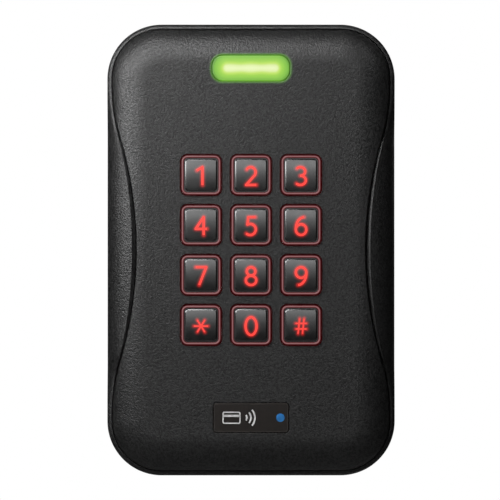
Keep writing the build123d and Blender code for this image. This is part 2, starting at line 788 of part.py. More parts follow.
for number, name in enumerate(key_names):
    key_x = (number % key_columns - (key_columns - 1) / 2) * key_pitch
    key_z = ((key_rows - 1) / 2 - number // key_columns) * key_pitch

    with BuildPart() as key_body:
        with BuildSketch(at_depth(flange_rear, key_x, key_z)):
            RectangleRounded(flange_size, flange_size, key_corner)
        extrude(amount=flange_thickness)
        with BuildSketch(at_depth(flange_rear, key_x, key_z)):
            RectangleRounded(key_size, key_size, key_corner)
        extrude(amount=rim_front - flange_rear)
        chamfer(key_body.faces().sort_by(Axis.Y)[0].edges(), 0.2)
        with BuildSketch(at_depth(cap_rear - touch_gap, key_x, key_z)):
            RectangleRounded(
                cap_size + 2 * touch_gap, cap_size + 2 * touch_gap, cap_corner + touch_gap
            )
        extrude(amount=cap_thickness, mode=Mode.SUBTRACT)
    save(key_body, f"key_body_{name}")

    with BuildPart() as key_cap:
        with BuildSketch(at_depth(cap_rear, key_x, key_z)):
            RectangleRounded(cap_size, cap_size, cap_corner)
        extrude(amount=cap_thickness)
        chamfer(key_cap.faces().sort_by(Axis.Y)[0].edges(), cap_bevel)
        with BuildSketch(at_depth(key_face, key_x, key_z)):
            with BuildLine() as strokes:
                draw_legend(name)
            for stroke in strokes.edges():
                trace(stroke, line_width=legend_stroke)
            with Locations(*[(v.X, v.Y) for v in strokes.vertices()]):
                Circle(legend_stroke / 2)
        extrude(amount=-legend_depth, mode=Mode.SUBTRACT)
    save(key_cap, f"key_cap_{name}")
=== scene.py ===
"""Looks of the keypad access reader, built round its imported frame.

The reader hangs on a wall at Y = 0 and faces -Y, with +Z up. Sizes inside the classes are in
millimetres, and a depth is a distance in front of the wall, as on a moulding drawing.
"""

import json
import logging
import math
from dataclasses import dataclass, field
from enum import Enum
from typing import Callable, Dict, List, Optional, Sequence, Tuple, Union

import bmesh
import bpy
import numpy as np
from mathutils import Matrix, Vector
from mathutils.geometry import delaunay_2d_cdt

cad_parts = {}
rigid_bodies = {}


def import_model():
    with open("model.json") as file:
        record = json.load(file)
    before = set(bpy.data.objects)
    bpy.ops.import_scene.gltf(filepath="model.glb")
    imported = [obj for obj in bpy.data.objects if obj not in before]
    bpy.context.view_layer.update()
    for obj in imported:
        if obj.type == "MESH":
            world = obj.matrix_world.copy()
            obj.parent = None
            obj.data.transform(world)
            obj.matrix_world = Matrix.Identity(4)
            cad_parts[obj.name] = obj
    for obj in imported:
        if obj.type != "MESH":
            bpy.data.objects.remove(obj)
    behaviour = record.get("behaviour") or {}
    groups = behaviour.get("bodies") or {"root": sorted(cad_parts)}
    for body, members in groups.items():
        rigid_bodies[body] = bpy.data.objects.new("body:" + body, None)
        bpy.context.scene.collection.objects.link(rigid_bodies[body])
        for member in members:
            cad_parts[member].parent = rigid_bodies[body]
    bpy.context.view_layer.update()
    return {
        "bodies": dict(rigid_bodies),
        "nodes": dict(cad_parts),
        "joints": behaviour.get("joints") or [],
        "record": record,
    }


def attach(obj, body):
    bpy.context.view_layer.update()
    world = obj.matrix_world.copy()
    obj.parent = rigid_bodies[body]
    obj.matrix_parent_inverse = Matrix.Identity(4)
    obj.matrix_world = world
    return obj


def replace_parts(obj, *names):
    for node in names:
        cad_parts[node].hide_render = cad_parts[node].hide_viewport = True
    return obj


LOG = logging.getLogger("reader")
MM = 0.001
Colour = Tuple[float, float, float]
Point = Tuple[float, float]
Profile = List[Tuple[float, float, float]]
Field = Callable[[np.ndarray], np.ndarray]
Glow = Callable[[np.ndarray, float], np.ndarray]
Number = Union[float, np.ndarray]
Socket = bpy.types.NodeSocket
Material = bpy.types.Material
Piece = bpy.types.Object


class Symbol(Enum):
    """The twelve keys, by the name that their nodes and bodies carry."""

    ONE = "1"
    TWO = "2"
    THREE = "3"
    FOUR = "4"
    FIVE = "5"
    SIX = "6"
    SEVEN = "7"
    EIGHT = "8"
    NINE = "9"
    STAR = "star"
    ZERO = "0"
    HASH = "hash"


# ---- Flat drawing ------------------------------------------------------------------------


def rounded_loop(
    width: float, height: float, radius: float, centre: Point, steps: int
) -> np.ndarray:
    """Draws a rounded rectangle counter-clockwise, with each corner in that many steps."""
    points = []
    for quarter, (sx, sz) in enumerate(((1, 1), (-1, 1), (-1, -1), (1, -1))):
        middle = (sx * (width / 2 - radius), sz * (height / 2 - radius))
        for step in range(steps + 1):
            turn = (quarter + step / steps) * math.pi / 2
            points.append(
                (middle[0] + radius * math.cos(turn), middle[1] + radius * math.sin(turn))
            )
    return np.array(points) + np.array(centre)


def circle_loop(radius: float, centre: Point, steps: int = 32) -> np.ndarray:
    """Draws a circle as a counter-clockwise loop of points."""
    turns = np.arange(steps) * 2 * math.pi / steps
    return np.stack([np.cos(turns), np.sin(turns)], 1) * radius + np.array(centre)


def outward(loop: np.ndarray) -> np.ndarray:
    """Gives each point of a counter-clockwise loop its unit direction away from the inside."""
    along = np.roll(loop, -1, 0) - np.roll(loop, 1, 0)
    away = np.stack([along[:, 1], -along[:, 0]], 1)
    return away / np.maximum(np.linalg.norm(away, axis=1, keepdims=True), 1e-9)


def inside(points: np.ndarray, loop: np.ndarray) -> np.ndarray:
    """Tells which points lie inside a loop, by counting the edges to their right."""
    x, z = points[:, 0][:, None], points[:, 1][:, None]
    x1, z1 = loop[:, 0][None], loop[:, 1][None]
    x2, z2 = np.roll(loop[:, 0], -1)[None], np.roll(loop[:, 1], -1)[None]
    spans = (z1 > z) != (z2 > z)
    rise = np.where(z2 == z1, 1e-12, z2 - z1)
    crosses = spans & (x < (x2 - x1) * (z - z1) / rise + x1)
    return crosses.sum(1) % 2 == 1


def triangles_between(
    flat: np.ndarray, border: Sequence[np.ndarray]
) -> List[Tuple[int, ...]]:
    """Triangulates points, kept inside the first loop and outside the others.

    Args:
        flat: the points, which start with those of every loop in turn.
        border: the loops.

    Returns:
        Each triangle as three point numbers.
    """
    edges, start = [], 0
    for line in border:
        size = len(line)
        edges += [(start + i, start + (i + 1) % size) for i in range(size)]
        start += size
    found = delaunay_2d_cdt([tuple(p) for p in flat], edges, [], 0, 1e-7)
    corners, triangles, origins = np.array([tuple(v) for v in found[0]]), found[2], found[3]
    middles = np.array([corners[list(t)].mean(0) for t in triangles])
    kept = inside(middles, border[0])
    for line in border[1:]:
        kept &= ~inside(middles, line)
    return [tuple(origins[v][0] for v in t) for t, good in zip(triangles, kept) if good]


def placed(name: str, data: bpy.types.ID) -> Piece:
    """Makes an object from its data and links it to the scene."""
    piece = bpy.data.objects.new(name, data)
    bpy.context.scene.collection.objects.link(piece)
    return piece


def settle(mesh: bpy.types.Mesh) -> None:
    """Drops a mesh's unused points and turns its faces outwards."""
    work = bmesh.new()
    work.from_mesh(mesh)
    loose = [v for v in work.verts if not v.link_faces]
    bmesh.ops.delete(work, geom=loose, context="VERTS")
    bmesh.ops.recalc_face_normals(work, faces=work.faces)
    work.to_mesh(mesh)
    work.free()


def distance_to(points: np.ndarray, loop: np.ndarray, closed: bool = True) -> np.ndarray:
    """Measures how far each point is from the nearest part of a line of points."""
    ends = np.roll(loop, -1, 0) if closed else loop[1:]
    starts = loop if closed else loop[:-1]
    run = ends - starts
    length = np.maximum((run**2).sum(1), 1e-12)
    offset = points[:, None] - starts[None]
    share = np.clip((offset * run[None]).sum(2) / length[None], 0, 1)
    return np.sqrt(((offset - share[..., None] * run[None]) ** 2).sum(2)).min(1)


# ---- The reader's own form ---------------------------------------------------------------


@dataclass(frozen=True)
class Form:
    """Outline and domed front that the housing and the front cover share."""

    width: float = 82.6
    height: float = 129.6
    corner: float = 15.6
    rim: float = 1.5
    waist_depth: float = 8.5
    waist_share: float = 0.66
    straight_side: float = 1.2
    roll_width: float = 11.5
    roll_depth: float = 8.0
    front: float = 23.0

    @property
    def edge(self) -> float:
        """Depth at which the roll-off meets the side wall."""
        return self.front - self.roll_depth

    @property
    def reach(self) -> float:
        """Height above the middle at which the waist begins."""
        return self.height / 2 - self.corner - self.straight_side

    def depth(self, points: np.ndarray) -> np.ndarray:
        """Depth of the domed front at each point."""
        return self.front - self.roll_depth * (1 - np.sqrt(1 - self._share(points)[0] ** 2))

    def tilt(self, points: np.ndarray) -> np.ndarray:
        """Unit normals of the domed front, as x, depth and z."""
        share, away = self._share(points)
        fall = self.roll_depth / self.roll_width * share / np.sqrt(np.maximum(1 - share**2, 1e-4))
        normal = np.stack([fall * away[:, 0], np.ones(len(points)), fall * away[:, 1]], 1)
        return normal / np.linalg.norm(normal, axis=1, keepdims=True)

    def _share(self, points: np.ndarray) -> Tuple[np.ndarray, np.ndarray]:
        """Share of the roll-off, 0 where it is flat and 1 at the side, and the way out."""
        core = np.array([self.width / 2 - self.corner, self.height / 2 - self.corner])
        past = np.abs(points) - core
        out = np.maximum(past, 0)
        reach = np.linalg.norm(out, axis=1)
        flat = np.where(
            (past[:, 0] > past[:, 1])[:, None],
            np.array([[1.0, 0.0]]),
            np.array([[0.0, 1.0]]),
        )
        away = np.where(reach[:, None] > 1e-9, out / np.maximum(reach, 1e-9)[:, None], flat)
        inset = self.corner - np.where(reach > 0, reach, past.max(1))
        share = np.clip((self.roll_width - inset) / self.roll_width, 0, 1)
        return share, away * np.sign(np.where(points == 0, 1, points))

    def body_loop(self, margin: float = 0.0) -> np.ndarray:
        """Outline of the housing, grown by margin, point for point beside waist_loop."""
        radius = self.corner + margin
        half = np.array([self.width / 2, self.height / 2]) + margin
        quarter = self._top_and_corner(half, radius)
        for _, z in self._side(0.0):
            quarter.append((half[0], z))
        return self._mirrored(quarter)

    def waist_loop(self, margin: float = 0.0) -> np.ndarray:
        """Waisted outline of the front cover, grown by margin."""
        radius = self.corner - self.rim + margin
        half = np.array([self.width / 2, self.height / 2]) - self.rim + margin
        quarter = self._top_and_corner(half, radius)
        quarter += self._side(margin)
        return self._mirrored(quarter)

    def _top_and_corner(self, half: np.ndarray, radius: float) -> List[Point]:
        """Quarter outline from the top's middle to the end of the corner."""
        middle = half - radius
        points = [(middle[0] * i / 14, half[1]) for i in range(14)]
        for step in range(29):
            turn = math.pi / 2 * (1 - step / 28)
            points.append(
                (middle[0] + radius * math.cos(turn), middle[1] + radius * math.sin(turn))
            )
        return points

    def _side(self, margin: float) -> List[Point]:
        """Quarter outline from the start of the waist's curve down to the middle."""
        turn = 2 * math.atan((self.waist_depth - self.rim) / self.reach)
        both = self.reach / math.sin(turn)
        waist = self.waist_share * both - margin
        shoulder = (1 - self.waist_share) * both + margin
        side = self.width / 2 - self.rim + margin
        waist_x = self.width / 2 - self.waist_depth + margin
        points = []
        for step in range(25):
            a = turn * step / 24
            points.append(
                (side - shoulder * (1 - math.cos(a)), self.reach - shoulder * math.sin(a))
            )
        for step in range(1, 41):
            a = turn * (1 - step / 40)
            points.append((waist_x + waist * (1 - math.cos(a)), waist * math.sin(a)))
        return points

    @staticmethod
    def _mirrored(quarter: Sequence[Point]) -> np.ndarray:
        """Completes a loop from its right-hand upper quarter, counter-clockwise."""
        part = np.array(quarter)[::-1]
        left = part[::-1][1:] * (-1, 1)
        below = np.concatenate([part, left])
        return np.concatenate([below, (below[::-1] * (1, -1))[1:-1]])


FORM = Form()
LIGHT_Z = 52.05
BADGE_Z = -48.0


# ---- Shells ------------------------------------------------------------------------------


def edge_profile(steps: int = 5) -> Profile:
    """Quarter-round edge as inset share, drop share and turn, from the face to the wall."""
    turns = [math.pi / 2 * i / steps for i in range(steps + 1)]
    return [(1 - math.sin(a), 1 - math.cos(a), a) for a in turns]


def soft_profile() -> Profile:
    """Shallow chamfer that rounds off into the wall, as inset share, drop share and turn."""
    return [
        (1.0, 0.0, 0.0),
        (0.92, 0.02, 0.22),
        (0.84, 0.06, 0.44),
        (0.32, 0.32, 0.5),
        (0.18, 0.42, 0.75),
        (0.05, 0.68, 1.2),
        (0.0, 1.0, math.pi / 2),
    ]


def bevel_profile() -> Profile:
    """Flat chamfer with eased ends, as inset share, drop share and turn."""
    return [
        (1.0, 0.0, 0.0),
        (0.88, 0.03, 0.4),
        (0.78, 0.12, 0.75),
        (0.12, 0.78, 0.82),
        (0.03, 0.88, 1.17),
        (0.0, 1.0, math.pi / 2),
    ]


class Shell:
    """A closed moulded skin gathered from loops and patches, in x, depth and z."""

    def __init__(self, name: str) -> None:
        """Starts an empty skin with its piece's name."""
        self.name = name
        self.points: List[np.ndarray] = []
        self.normals: List[np.ndarray] = []
        self.values: List[np.ndarray] = []
        self.faces: List[Tuple[int, ...]] = []
        self.count = 0

    def add(
        self, flat: np.ndarray, depth: Number, normals: np.ndarray, value: Number = 0.0
    ) -> np.ndarray:
        """Adds points by x and z, depth, direction and glow, and returns their numbers."""
        rows = len(flat)
        depth = np.broadcast_to(depth, rows)
        self.points.append(np.stack([flat[:, 0], depth, flat[:, 1]], 1))
        self.normals.append(np.broadcast_to(normals, (rows, 3)))
        self.values.append(np.broadcast_to(value, rows).astype(float))
        numbers = np.arange(self.count, self.count + rows)
        self.count += rows
        return numbers

    def bridge(self, first: np.ndarray, second: np.ndarray) -> None:
        """Joins two closed loops of equal length with a band of four-sided faces."""
        for a, b, c, d in zip(first, np.roll(first, -1), np.roll(second, -1), second):
            self.faces.append((int(a), int(b), int(c), int(d)))

    def loops(self, rings: Sequence[np.ndarray]) -> None:
        """Joins each loop to the next."""
        for first, second in zip(rings, rings[1:]):
            self.bridge(first, second)

    def rolled_edge(
        self,
        wall: np.ndarray,
        size: Number,
        profile: Profile,
        surface: Field,
        tilt: Field,
        inward: bool = False,
        value: Optional[Glow] = None,
    ) -> List[np.ndarray]:
        """Adds the loops of an edge that turns from a front surface into a wall.

        Args:
            wall: the wall's line, counter-clockwise.
            size: the edge's size, one for all or one for each point.
            profile: its section.
            surface: gives the surface's depth at points.
            tilt: gives the surface's normals at points.
            inward: True where the wall is a hole's, so that the surface lies outside it.
            value: gives the glow for points and a drop share.

        Returns:
            The loops, from the surface to the wall.
        """
        away = outward(wall) * (-1 if inward else 1)
        size = np.broadcast_to(size, len(wall))
        side = np.stack([away[:, 0], np.zeros(len(wall)), away[:, 1]], 1)
        rings = []
        for inset, drop, turn in profile:
            flat = wall - away * (inset * size)[:, None]
            normal = tilt(flat) * math.cos(turn) + side * math.sin(turn)
            normal = normal / np.linalg.norm(normal, axis=1, keepdims=True)
            glow = value(flat, drop) if value else 0.0
            rings.append(self.add(flat, surface(flat) - drop * size, normal, glow))
        return rings

    def patch(
        self,
        outer: np.ndarray,
        holes: Sequence[np.ndarray],
        within: np.ndarray,
        surface: Field,
        tilt: Field,
        value: Optional[Glow] = None,
        clear: float = 0.25,
    ) -> None:
        """Fills the area between loops that are already there.

        Args:
            outer: numbers of the loop round the area.
            holes: numbers of the loops round its holes.
            within: x and z of points wanted inside it.
            surface: gives the surface's depth at points.
            tilt: gives the surface's normals at points.
            value: gives the glow for points and a drop share of 0.
            clear: distance that the points inside keep from every loop.
        """
        known = np.concatenate(self.points)[:, [0, 2]]
        border = [known[ring] for ring in (outer, *holes)]
        keep = inside(within, border[0])
        for number, line in enumerate(border):
            if number:
                keep &= ~inside(within, line)
            keep &= distance_to(within, line) > clear
        inner = within[keep]
        fresh = self.add(inner, surface(inner), tilt(inner), value(inner, 0.0) if value else 0.0)
        numbers = np.concatenate([outer, *holes, fresh])
        flat = np.concatenate([*border, inner])
        for triangle in triangles_between(flat, border):
            self.faces.append(tuple(int(numbers[v]) for v in triangle))

    def lid(self, ring: np.ndarray, depth: float, direction: float = -1.0) -> None:
        """Closes a flat loop with a face to the wall, or to the front for 1."""
        self.patch(ring, [], np.zeros((0, 2)), level(depth), facing(direction))

    def rise(self, loop: np.ndarray, depth: float, direction: float = 1.0) -> np.ndarray:
        """Adds a loop on an upright wall that faces outwards or, for -1, inwards."""
        return self.add(loop, depth, sideways(loop, direction))

    def rest(self, loop: np.ndarray, depth: float, direction: float = -1.0) -> np.ndarray:
        """Adds a loop on a flat face to the wall, or to the front for 1."""
        return self.add(loop, depth, facing(direction)(loop))

    def domed_edge(
        self,
        wall: np.ndarray,
        size: float,
        steps: int,
        inward: bool = False,
        value: Optional[Glow] = None,
    ) -> List[np.ndarray]:
        """Adds a quarter-round edge between the reader's domed front and a wall."""
        profile = edge_profile(steps)
        return self.rolled_edge(wall, size, profile, FORM.depth, FORM.tilt, inward, value)

    def build(self, material: Material) -> Piece:
        """Makes the object in its finish: closed, and with the moulding's own normals."""
        points = np.concatenate(self.points) * MM
        world = points * (1, -1, 1)
        mesh = bpy.data.meshes.new(self.name)
        mesh.from_pydata(world.tolist(), [], self.faces)
        settle(mesh)
        used = np.zeros(len(world), bool)
        used[[v for face in self.faces for v in face]] = True
        normals = (np.concatenate(self.normals) * (1, -1, 1))[used]
        values = np.concatenate(self.values)[used]
        attribute = mesh.attributes.new("glow", "FLOAT", "POINT")
        attribute.data.foreach_set("value", values.astype(np.float32))
        mesh.polygons.foreach_set("use_smooth", [True] * len(mesh.polygons))
        mesh.normals_split_custom_set_from_vertices(normals.tolist())
        mesh.materials.append(material)
        return placed(self.name, mesh)


def level(depth: float) -> Field:
    """Gives a surface that lies flat at one depth."""
    return lambda flat: np.full(len(flat), depth)


def facing(direction: float = 1.0) -> Field:
    """Gives normals straight to the front, or to the wall for -1."""
    return lambda flat: np.tile([0.0, direction, 0.0], (len(flat), 1))


def sideways(loop: np.ndarray, direction: float = 1.0) -> np.ndarray:
    """Normals of an upright wall along a loop, outwards or, for -1, inwards."""
    away = outward(loop) * direction
    return np.stack([away[:, 0], np.zeros(len(loop)), away[:, 1]], 1)


def grid(width: float, height: float, step: float, centre: Point) -> np.ndarray:
    """Points on a staggered grid over a rectangle."""
    rows = []
    for row, z in enumerate(np.arange(-height / 2, height / 2 + step, step * 0.866)):
        shift = step / 2 * (row % 2)
        xs = np.arange(-width / 2 + shift, width / 2 + step, step)
        rows.append(np.stack([xs, np.full(len(xs), z)], 1))
    return np.concatenate(rows) + np.array(centre)


# ---- Finishes ----------------------------------------------------------------------------


class Bench:
    """Short-hand for building one material's node tree."""

    def __init__(self, name: str) -> None:
        """Starts a material with a Principled shader and object coordinates."""
        self.material = bpy.data.materials.new(name)
        self.material.use_nodes = True
        self.nodes = self.material.node_tree.nodes
        self.links = self.material.node_tree.links
        self.shader = self.nodes["Principled BSDF"]
        self.place = self.nodes.new("ShaderNodeTexCoord").outputs["Object"]

    def set(self, **values: "float | Sequence[float]") -> None:
        """Sets the shader's own sockets, by their names with _ for each space."""
        for name, value in values.items():
            self.shader.inputs[name.replace("_", " ")].default_value = value

    def feed(self, **sources: Socket) -> None:
        """Links values to the shader's own sockets, named as in set."""
        for name, source in sources.items():
            self.link(source, self.shader.inputs[name.replace("_", " ")])

    def link(self, source: Socket, target: Socket) -> None:
        """Joins two sockets."""
        self.links.new(source, target)

    def noise(self, scale: float, detail: float = 2.0, rough: float = 0.5) -> Socket:
        """Adds a noise of that many features a metre and returns its value."""
        node = self.nodes.new("ShaderNodeTexNoise")
        node.inputs["Scale"].default_value = scale
        node.inputs["Detail"].default_value = detail
        node.inputs["Roughness"].default_value = rough
        self.link(self.place, node.inputs["Vector"])
        return node.outputs["Fac"]

    def cells(self, scale: float) -> Socket:
        """Adds a cell pattern and returns the distance to the nearest cell's middle."""
        node = self.nodes.new("ShaderNodeTexVoronoi")
        node.inputs["Scale"].default_value = scale
        self.link(self.place, node.inputs["Vector"])
        return node.outputs["Distance"]

    def attribute(self, name: str) -> Socket:
        """Reads a value kept with the mesh's points."""
        node = self.nodes.new("ShaderNodeAttribute")
        node.attribute_name = name
        return node.outputs["Fac"]

    def ramp(
        self, value: Socket, stops: Sequence[Tuple[float, Colour]]
    ) -> Socket:
        """Turns a value into a colour through stops and returns the colour."""
        node = self.nodes.new("ShaderNodeValToRGB")
        elements = node.color_ramp.elements
        while len(elements) < len(stops):
            elements.new(0.5)
        for element, (position, colour) in zip(elements, stops):
            element.position = position
            element.color = (*colour, 1.0)
        self.link(value, node.inputs["Fac"])
        return node.outputs["Color"]

    def span(
        self, value: Socket, low: float, high: float,
        start: float = 0.0, end: float = 1.0,
    ) -> Socket:
        """Maps a value from one range to another and returns it."""
        node = self.nodes.new("ShaderNodeMapRange")
        for name, number in zip(("From Min", "From Max", "To Min", "To Max"),
                                (start, end, low, high)):
            node.inputs[name].default_value = number
        self.link(value, node.inputs["Value"])
        return node.outputs["Result"]

    def even(self, cloud: Socket, roughness: float) -> Socket:
        """Turns a noise into a roughness that keeps close to one value."""
        return self.span(cloud, roughness * 0.85, min(1.0, roughness * 1.15), 0.3, 0.7)

    def mixed(
        self, first: Socket, second: Socket, share: float
    ) -> Socket:
        """Blends two values by a fixed share and returns the blend."""
        node = self.nodes.new("ShaderNodeMix")
        node.inputs["Factor"].default_value = share
        self.link(first, node.inputs["A"])
        self.link(second, node.inputs["B"])
        return node.outputs["Result"]

    def bump(self, height: Socket, strength: float, distance: float) -> None:
        """Raises the surface by a height pattern, distance in millimetres."""
        node = self.nodes.new("ShaderNodeBump")
        node.inputs["Strength"].default_value = strength
        node.inputs["Distance"].default_value = distance * MM
        self.link(height, node.inputs["Height"])
        self.link(node.outputs["Normal"], self.shader.inputs["Normal"])


@dataclass(frozen=True)
class Moulding:
    """Spark-eroded matte plastic: a fine grain in relief, tone and gloss."""

    name: str
    dark: Colour
    light: Colour
    roughness: Point = (0.30, 0.46)
    grain: float = 1400.0
    cell_ratio: float = 2.2
    cell_share: float = 0.35
    patches: float = 90.0
    grain_share: float = 0.75
    relief: float = 0.17
    halo: Optional[Tuple[Colour, Colour]] = None

    def material(self) -> Material:
        """Builds the finish."""
        bench = Bench(self.name)
        coarse = bench.noise(self.grain, 2.0, 0.55)
        fine = bench.cells(self.grain * self.cell_ratio)
        grain = bench.mixed(coarse, fine, self.cell_share)
        patchy = bench.mixed(bench.noise(self.patches, 2.0), grain, self.grain_share)
        bench.feed(
            Base_Color=bench.ramp(grain, [(0.36, self.dark), (0.6, self.light)]),
            Roughness=bench.span(patchy, self.roughness[1], self.roughness[0], 0.35, 0.65),
        )
        bench.bump(grain, 1.0, self.relief)
        bench.set(Specular_IOR_Level=0.5)
        if self.halo:
            spill = bench.span(bench.attribute("glow"), 0.0, 1.0, -1.0, 1.0)
            stops = [(0.0, self.halo[0]), (0.5, (0, 0, 0)), (1.0, self.halo[1])]
            bench.feed(Emission_Color=bench.ramp(spill, stops))
            bench.set(Emission_Strength=1.0)
        return bench.material


@dataclass(frozen=True)
class LitPlastic:
    """Translucent or glossy plastic whose glow follows the points' own values."""

    name: str
    base: Colour
    stops: Tuple[Tuple[float, Colour], ...]
    roughness: float = 0.2
    ripple: float = 0.01
    specular: float = 0.5
    index: float = 1.5

    def material(self) -> Material:
        """Builds the finish."""
        bench = Bench(self.name)
        cloud = bench.noise(420.0, 3.0)
        darker = tuple(channel * 0.8 for channel in self.base)
        bench.feed(
            Base_Color=bench.ramp(cloud, [(0.3, darker), (0.7, self.base)]),
            Roughness=bench.even(cloud, self.roughness),
            Emission_Color=bench.ramp(bench.attribute("glow"), self.stops),
        )
        bench.set(Emission_Strength=1.0, Specular_IOR_Level=self.specular, IOR=self.index)
        bench.bump(cloud, 0.2, self.ripple)
        return bench.material


@dataclass(frozen=True)
class Metal:
    """Plated or drawn metal with a fine grain in relief and a little tarnish."""

    name: str
    colour: Colour
    roughness: Point = (0.24, 0.42)

    def material(self) -> Material:
        """Builds the finish."""
        bench = Bench(self.name)
        cloud = bench.noise(700.0, 4.0, 0.6)
        darker = tuple(channel * 0.7 for channel in self.colour)
        bench.feed(
            Base_Color=bench.ramp(cloud, [(0.3, darker), (0.65, self.colour)]),
            Roughness=bench.span(cloud, *self.roughness, 0.3, 0.7),
        )
        bench.set(Metallic=1.0)
        bench.bump(bench.noise(5200.0, 1.0), 0.15, 0.01)
        return bench.material


@dataclass(frozen=True)
class Plain:
    """Small inner part's finish: two close tones, a soft grain and an even gloss."""

    name: str
    colour: Colour
    roughness: float = 0.5
    grain: float = 900.0
    transmission: float = 0.0

    def material(self) -> Material:
        """Builds the finish."""
        bench = Bench(self.name)
        cloud = bench.noise(self.grain, 3.0)
        darker = tuple(channel * 0.75 for channel in self.colour)
        bench.feed(
            Base_Color=bench.ramp(cloud, [(0.35, darker), (0.65, self.colour)]),
            Roughness=bench.even(cloud, self.roughness),
        )
        bench.set(Transmission_Weight=self.transmission)
        bench.bump(cloud, 0.25, 0.02)
        return bench.material


PIT, PEAK = (0.001, 0.001, 0.001), (0.026, 0.026, 0.026)
SHELL = Moulding("shell_black", PIT, PEAK)
COVER = Moulding("cover_black", PIT, PEAK, halo=((0.06, 0.001, 0.0015), (0.09, 0.27, 0.025)))
# Key rim glow: the red stops are the key's red backlight; the pale pinkish-grey stops at 0.97 and
# 1.0 are a painted highlight on the rim's front crest.
RIM = LitPlastic(
    "key_rim",
    (0.012, 0.002, 0.002),
    (
        (0.0, (0.02, 0.0, 0.001)),
        (0.80, (0.05, 0.002, 0.003)),
        (0.93, (0.10, 0.006, 0.008)),
        (0.97, (0.17, 0.055, 0.06)),
        (1.0, (0.27, 0.13, 0.135)),
    ),
    0.3,
    specular=0.3,
)
CAP = LitPlastic(
    "key_cap_black",
    (0.008, 0.008, 0.008),
    ((0.0, (0, 0, 0)), (0.45, (0.09, 0.001, 0.001)), (1.0, (0.48, 0.008, 0.007))),
    0.2,
    0.004,
    specular=1.0,
    index=1.62,
)
LEGEND = LitPlastic(
    "legend_red",
    (0.3, 0.01, 0.01),
    ((0.0, (0.7, 0.03, 0.025)), (1.0, (0.85, 0.055, 0.04))),
    0.4,
)
LENS = LitPlastic(
    "lens_green",
    (0.02, 0.06, 0.01),
    (
        (0.0, (0.06, 0.17, 0.015)),
        (0.16, (0.17, 0.42, 0.035)),
        (0.34, (0.23, 0.50, 0.045)),
        (0.52, (0.31, 0.58, 0.055)),
        (0.68, (0.50, 0.69, 0.11)),
        (0.84, (0.72, 0.80, 0.38)),
        (1.0, (0.79, 0.85, 0.48)),
    ),
    0.35,
)
BADGE = Plain("badge_film", (0.012, 0.008, 0.006), 0.35)
BORDER = Plain("badge_border_line", (0.05, 0.045, 0.04), 0.4)
PRINT = Plain("badge_print", (0.80, 0.80, 0.80), 0.4)
SPOT = Plain("badge_spot", (0.02, 0.20, 0.55), 0.35)

INNER: Dict[str, object] = {
    "inner_black": Moulding(
        "inner_black", (0.022, 0.022, 0.023), (0.05, 0.05, 0.051), grain=800.0
    ),
    "plate_grey": Moulding(
        "plate_black", (0.020, 0.020, 0.021), (0.045, 0.045, 0.046), grain=900.0
    ),
    "guide_clear": Plain("guide_clear", (0.85, 0.9, 0.9), 0.12, transmission=0.8),
    "led_white": Plain("led_white", (0.85, 0.82, 0.70), 0.35),
    "mat_silicone": Plain("mat_silicone", (0.62, 0.60, 0.57), 0.6),
    "seal_rubber": Plain("seal_rubber", (0.02, 0.02, 0.02), 0.8, 1600.0),
    "board_green": Plain("board_green", (0.02, 0.16, 0.07), 0.35, 500.0),
    "connector_black": Plain("connector_black", (0.03, 0.03, 0.03), 0.45),
    "chip_black": Plain("chip_black", (0.02, 0.02, 0.02), 0.6, 2500.0),
    "terminal_green": Plain("terminal_green", (0.03, 0.26, 0.10), 0.45),
    "coil_copper": Metal("coil_copper", (0.55, 0.22, 0.10)),
    "can_tin": Metal("can_tin", (0.62, 0.62, 0.60)),
    "steel": Metal("steel", (0.50, 0.50, 0.52)),
    "insert_brass": Metal("insert_brass", (0.62, 0.44, 0.18)),
}


# ---- Mouldings that show -----------------------------------------------------------------


